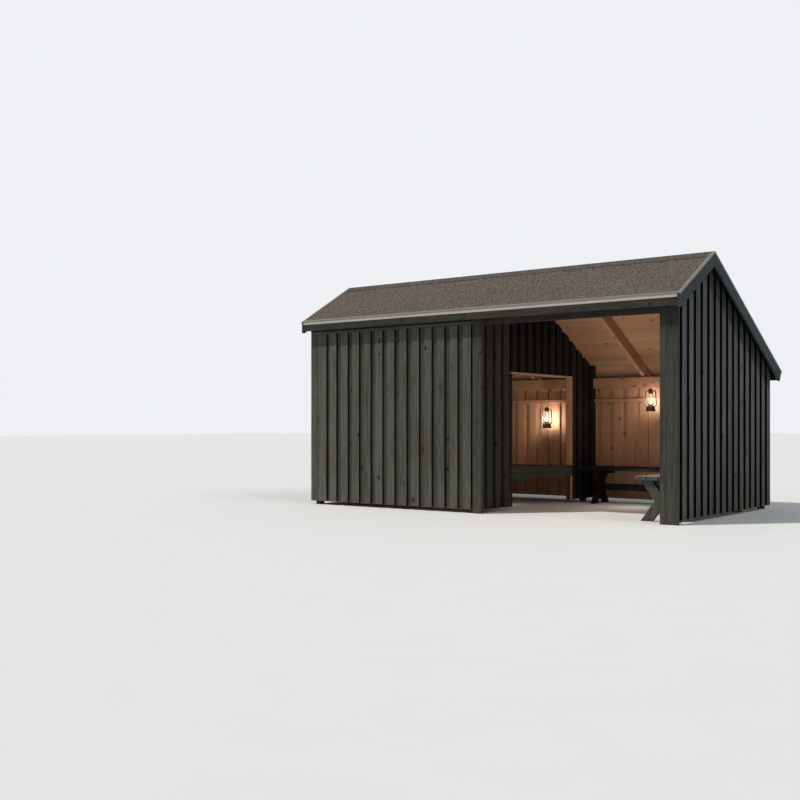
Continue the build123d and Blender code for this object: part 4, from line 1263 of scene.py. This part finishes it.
class SHELTER_OT_set_stage(Operator):
    """Set up the floor, the lights, the world and the camera"""

    bl_idname = "shelter.set_stage"
    bl_label = "Set Stage"

    camera_at: FloatVectorProperty(
        name="Camera",
        description="Where the camera stands",
        size=3,
        subtype="TRANSLATION",
        default=(6.2395, -10.826, 0.930),
    )
    camera_turn: angle("Turn", "Turn of the camera to the left", 37.2296)
    lens: FloatProperty(name="Lens", description="Focal length in millimetres", default=48.20)
    shift: FloatProperty(name="Shift", description="Upward shift of the picture", default=0.0317)

    def execute(self, context):
        scene = context.scene
        self.camera(scene)
        self.floor()
        self.world(scene)
        self.lamps()
        scene.view_settings.view_transform = "Standard"
        return {"FINISHED"}

    def camera(self, scene):
        bpy.ops.object.camera_add(location=self.camera_at, rotation=(math.pi / 2, 0, self.camera_turn))
        camera = bpy.context.object
        camera.data.lens = self.lens
        camera.data.sensor_width = 36.0
        camera.data.shift_y = self.shift
        camera.data.clip_end = 300.0
        scene.camera = camera

    def floor(self):
        bpy.ops.mesh.primitive_plane_add(size=FLOOR_SIZE, location=FLOOR_AT)
        floor = bpy.context.object
        floor.name = "studio_floor"
        finish = Finish("floor_paint")
        tone = finish.scaled(colours().floor, 0.985 + finish.cloud(3.0) * 0.03)
        dress(floor, finish.surface(Base_Color=tone, Roughness=0.9))

    def world(self, scene):
        scene.world = bpy.data.worlds.new("studio")
        sky = Nodes(scene.world)
        rays = [sky.node("ShaderNodeLightPath", output=f"Is {kind} Ray") for kind in SKY_RAYS]
        seen = rays[0].at_least(rays[1]).at_least(rays[2])
        back = sky.tree.nodes["Background"]
        sky.join(sky.blend(SKY_LIGHT, SKY_SEEN, seen), back.inputs["Color"])
        back.inputs["Strength"].default_value = 1.0

    def lamps(self):
        """Sun and side light, a lamp in each flame, and four wide lamps for what the walls throw back inside."""
        self.sun(-40, 54, 2.5, 2.5, DAYLIGHT)
        self.sun(80, 48, 0.56, 28, SIDE_LIGHT)
        feet = lantern_feet(TANK_RADIUS, LANTERN_HEIGHT, HOOK_WIRE)
        room, bay = (foot + FLAME_HEIGHT * Z for foot in feet)
        glow = colours().glow
        self.point(room, 3.9, 0.012, PALE_LIGHT)
        self.point(bay, 2.5, 0.012, PALE_LIGHT)
        self.point((-1.0, room.y - 0.9, 1.15), 6.2, 0.30, ROOM_LIGHT)
        self.point((0.95, room.y - 1.0, 1.35), 6.1, 0.30, glow)
        self.point((1.0, room.y - 0.6, 0.36), 3.0, 0.15, PALE_LIGHT)
        self.point((-0.5, room.y - 1.2, 0.20), 1.6, 0.10, glow)

    def sun(self, azimuth, elevation, energy, width, colour):
        """A far lamp, its width in degrees."""
        bpy.ops.object.light_add(type="SUN", rotation=self.aim(azimuth, elevation))
        lamp = bpy.context.object.data
        lamp.energy, lamp.angle, lamp.color = energy, math.radians(width), colour

    def point(self, spot, energy, radius, colour):
        """A near lamp that isn't seen itself, its size by its radius."""
        bpy.ops.object.light_add(type="POINT", location=spot)
        bpy.context.object.visible_camera = False
        lamp = bpy.context.object.data
        lamp.energy, lamp.shadow_soft_size, lamp.color = energy, radius, colour

    def aim(self, azimuth, elevation):
        """Turn of a lamp that shines from an azimuth left of the front and an elevation, in degrees."""
        a, e = math.radians(azimuth), math.radians(elevation)
        source = Vector((math.sin(a) * math.cos(e), -math.cos(a) * math.cos(e), math.sin(e)))
        return source.to_track_quat("Z", "Y").to_euler()


class SHELTER_PT_panel(Panel):
    """Sidebar panel with the shelter's steps"""

    bl_label = "Garden Shelter"
    bl_idname = "SHELTER_PT_panel"
    bl_space_type = "VIEW_3D"
    bl_region_type = "UI"
    bl_category = "Shelter"

    def draw(self, context):
        for step in STEPS:
            self.layout.operator(step.bl_idname)


STEPS = (
    SHELTER_OT_clad_walls,
    SHELTER_OT_clad_partition,
    SHELTER_OT_lay_roof_boards,
    SHELTER_OT_lay_felt,
    SHELTER_OT_finish_edges,
    SHELTER_OT_finish_frame,
    SHELTER_OT_build_bunk,
    SHELTER_OT_finish_benches,
    SHELTER_OT_drive_screws,
    SHELTER_OT_hang_lanterns,
    SHELTER_OT_set_stage,
)
CLASSES = (ShelterSizes, ShelterColours, *STEPS, SHELTER_PT_panel)


def register():
    for cls in CLASSES:
        bpy.utils.register_class(cls)
    bpy.types.Scene.shelter_sizes = PointerProperty(type=ShelterSizes)
    bpy.types.Scene.shelter_colours = PointerProperty(type=ShelterColours)


def unregister():
    del bpy.types.Scene.shelter_colours
    del bpy.types.Scene.shelter_sizes
    for cls in reversed(CLASSES):
        bpy.utils.unregister_class(cls)


def main():
    register()
    bpy.ops.shelter.clad_walls()
    bpy.ops.shelter.clad_partition()
    bpy.ops.shelter.lay_roof_boards()
    bpy.ops.shelter.lay_felt()
    bpy.ops.shelter.finish_edges()
    bpy.ops.shelter.finish_frame()
    bpy.ops.shelter.build_bunk()
    bpy.ops.shelter.finish_benches()
    bpy.ops.shelter.drive_screws()
    bpy.ops.shelter.hang_lanterns()
    bpy.ops.shelter.set_stage()


if __name__ == "__main__":
    main()
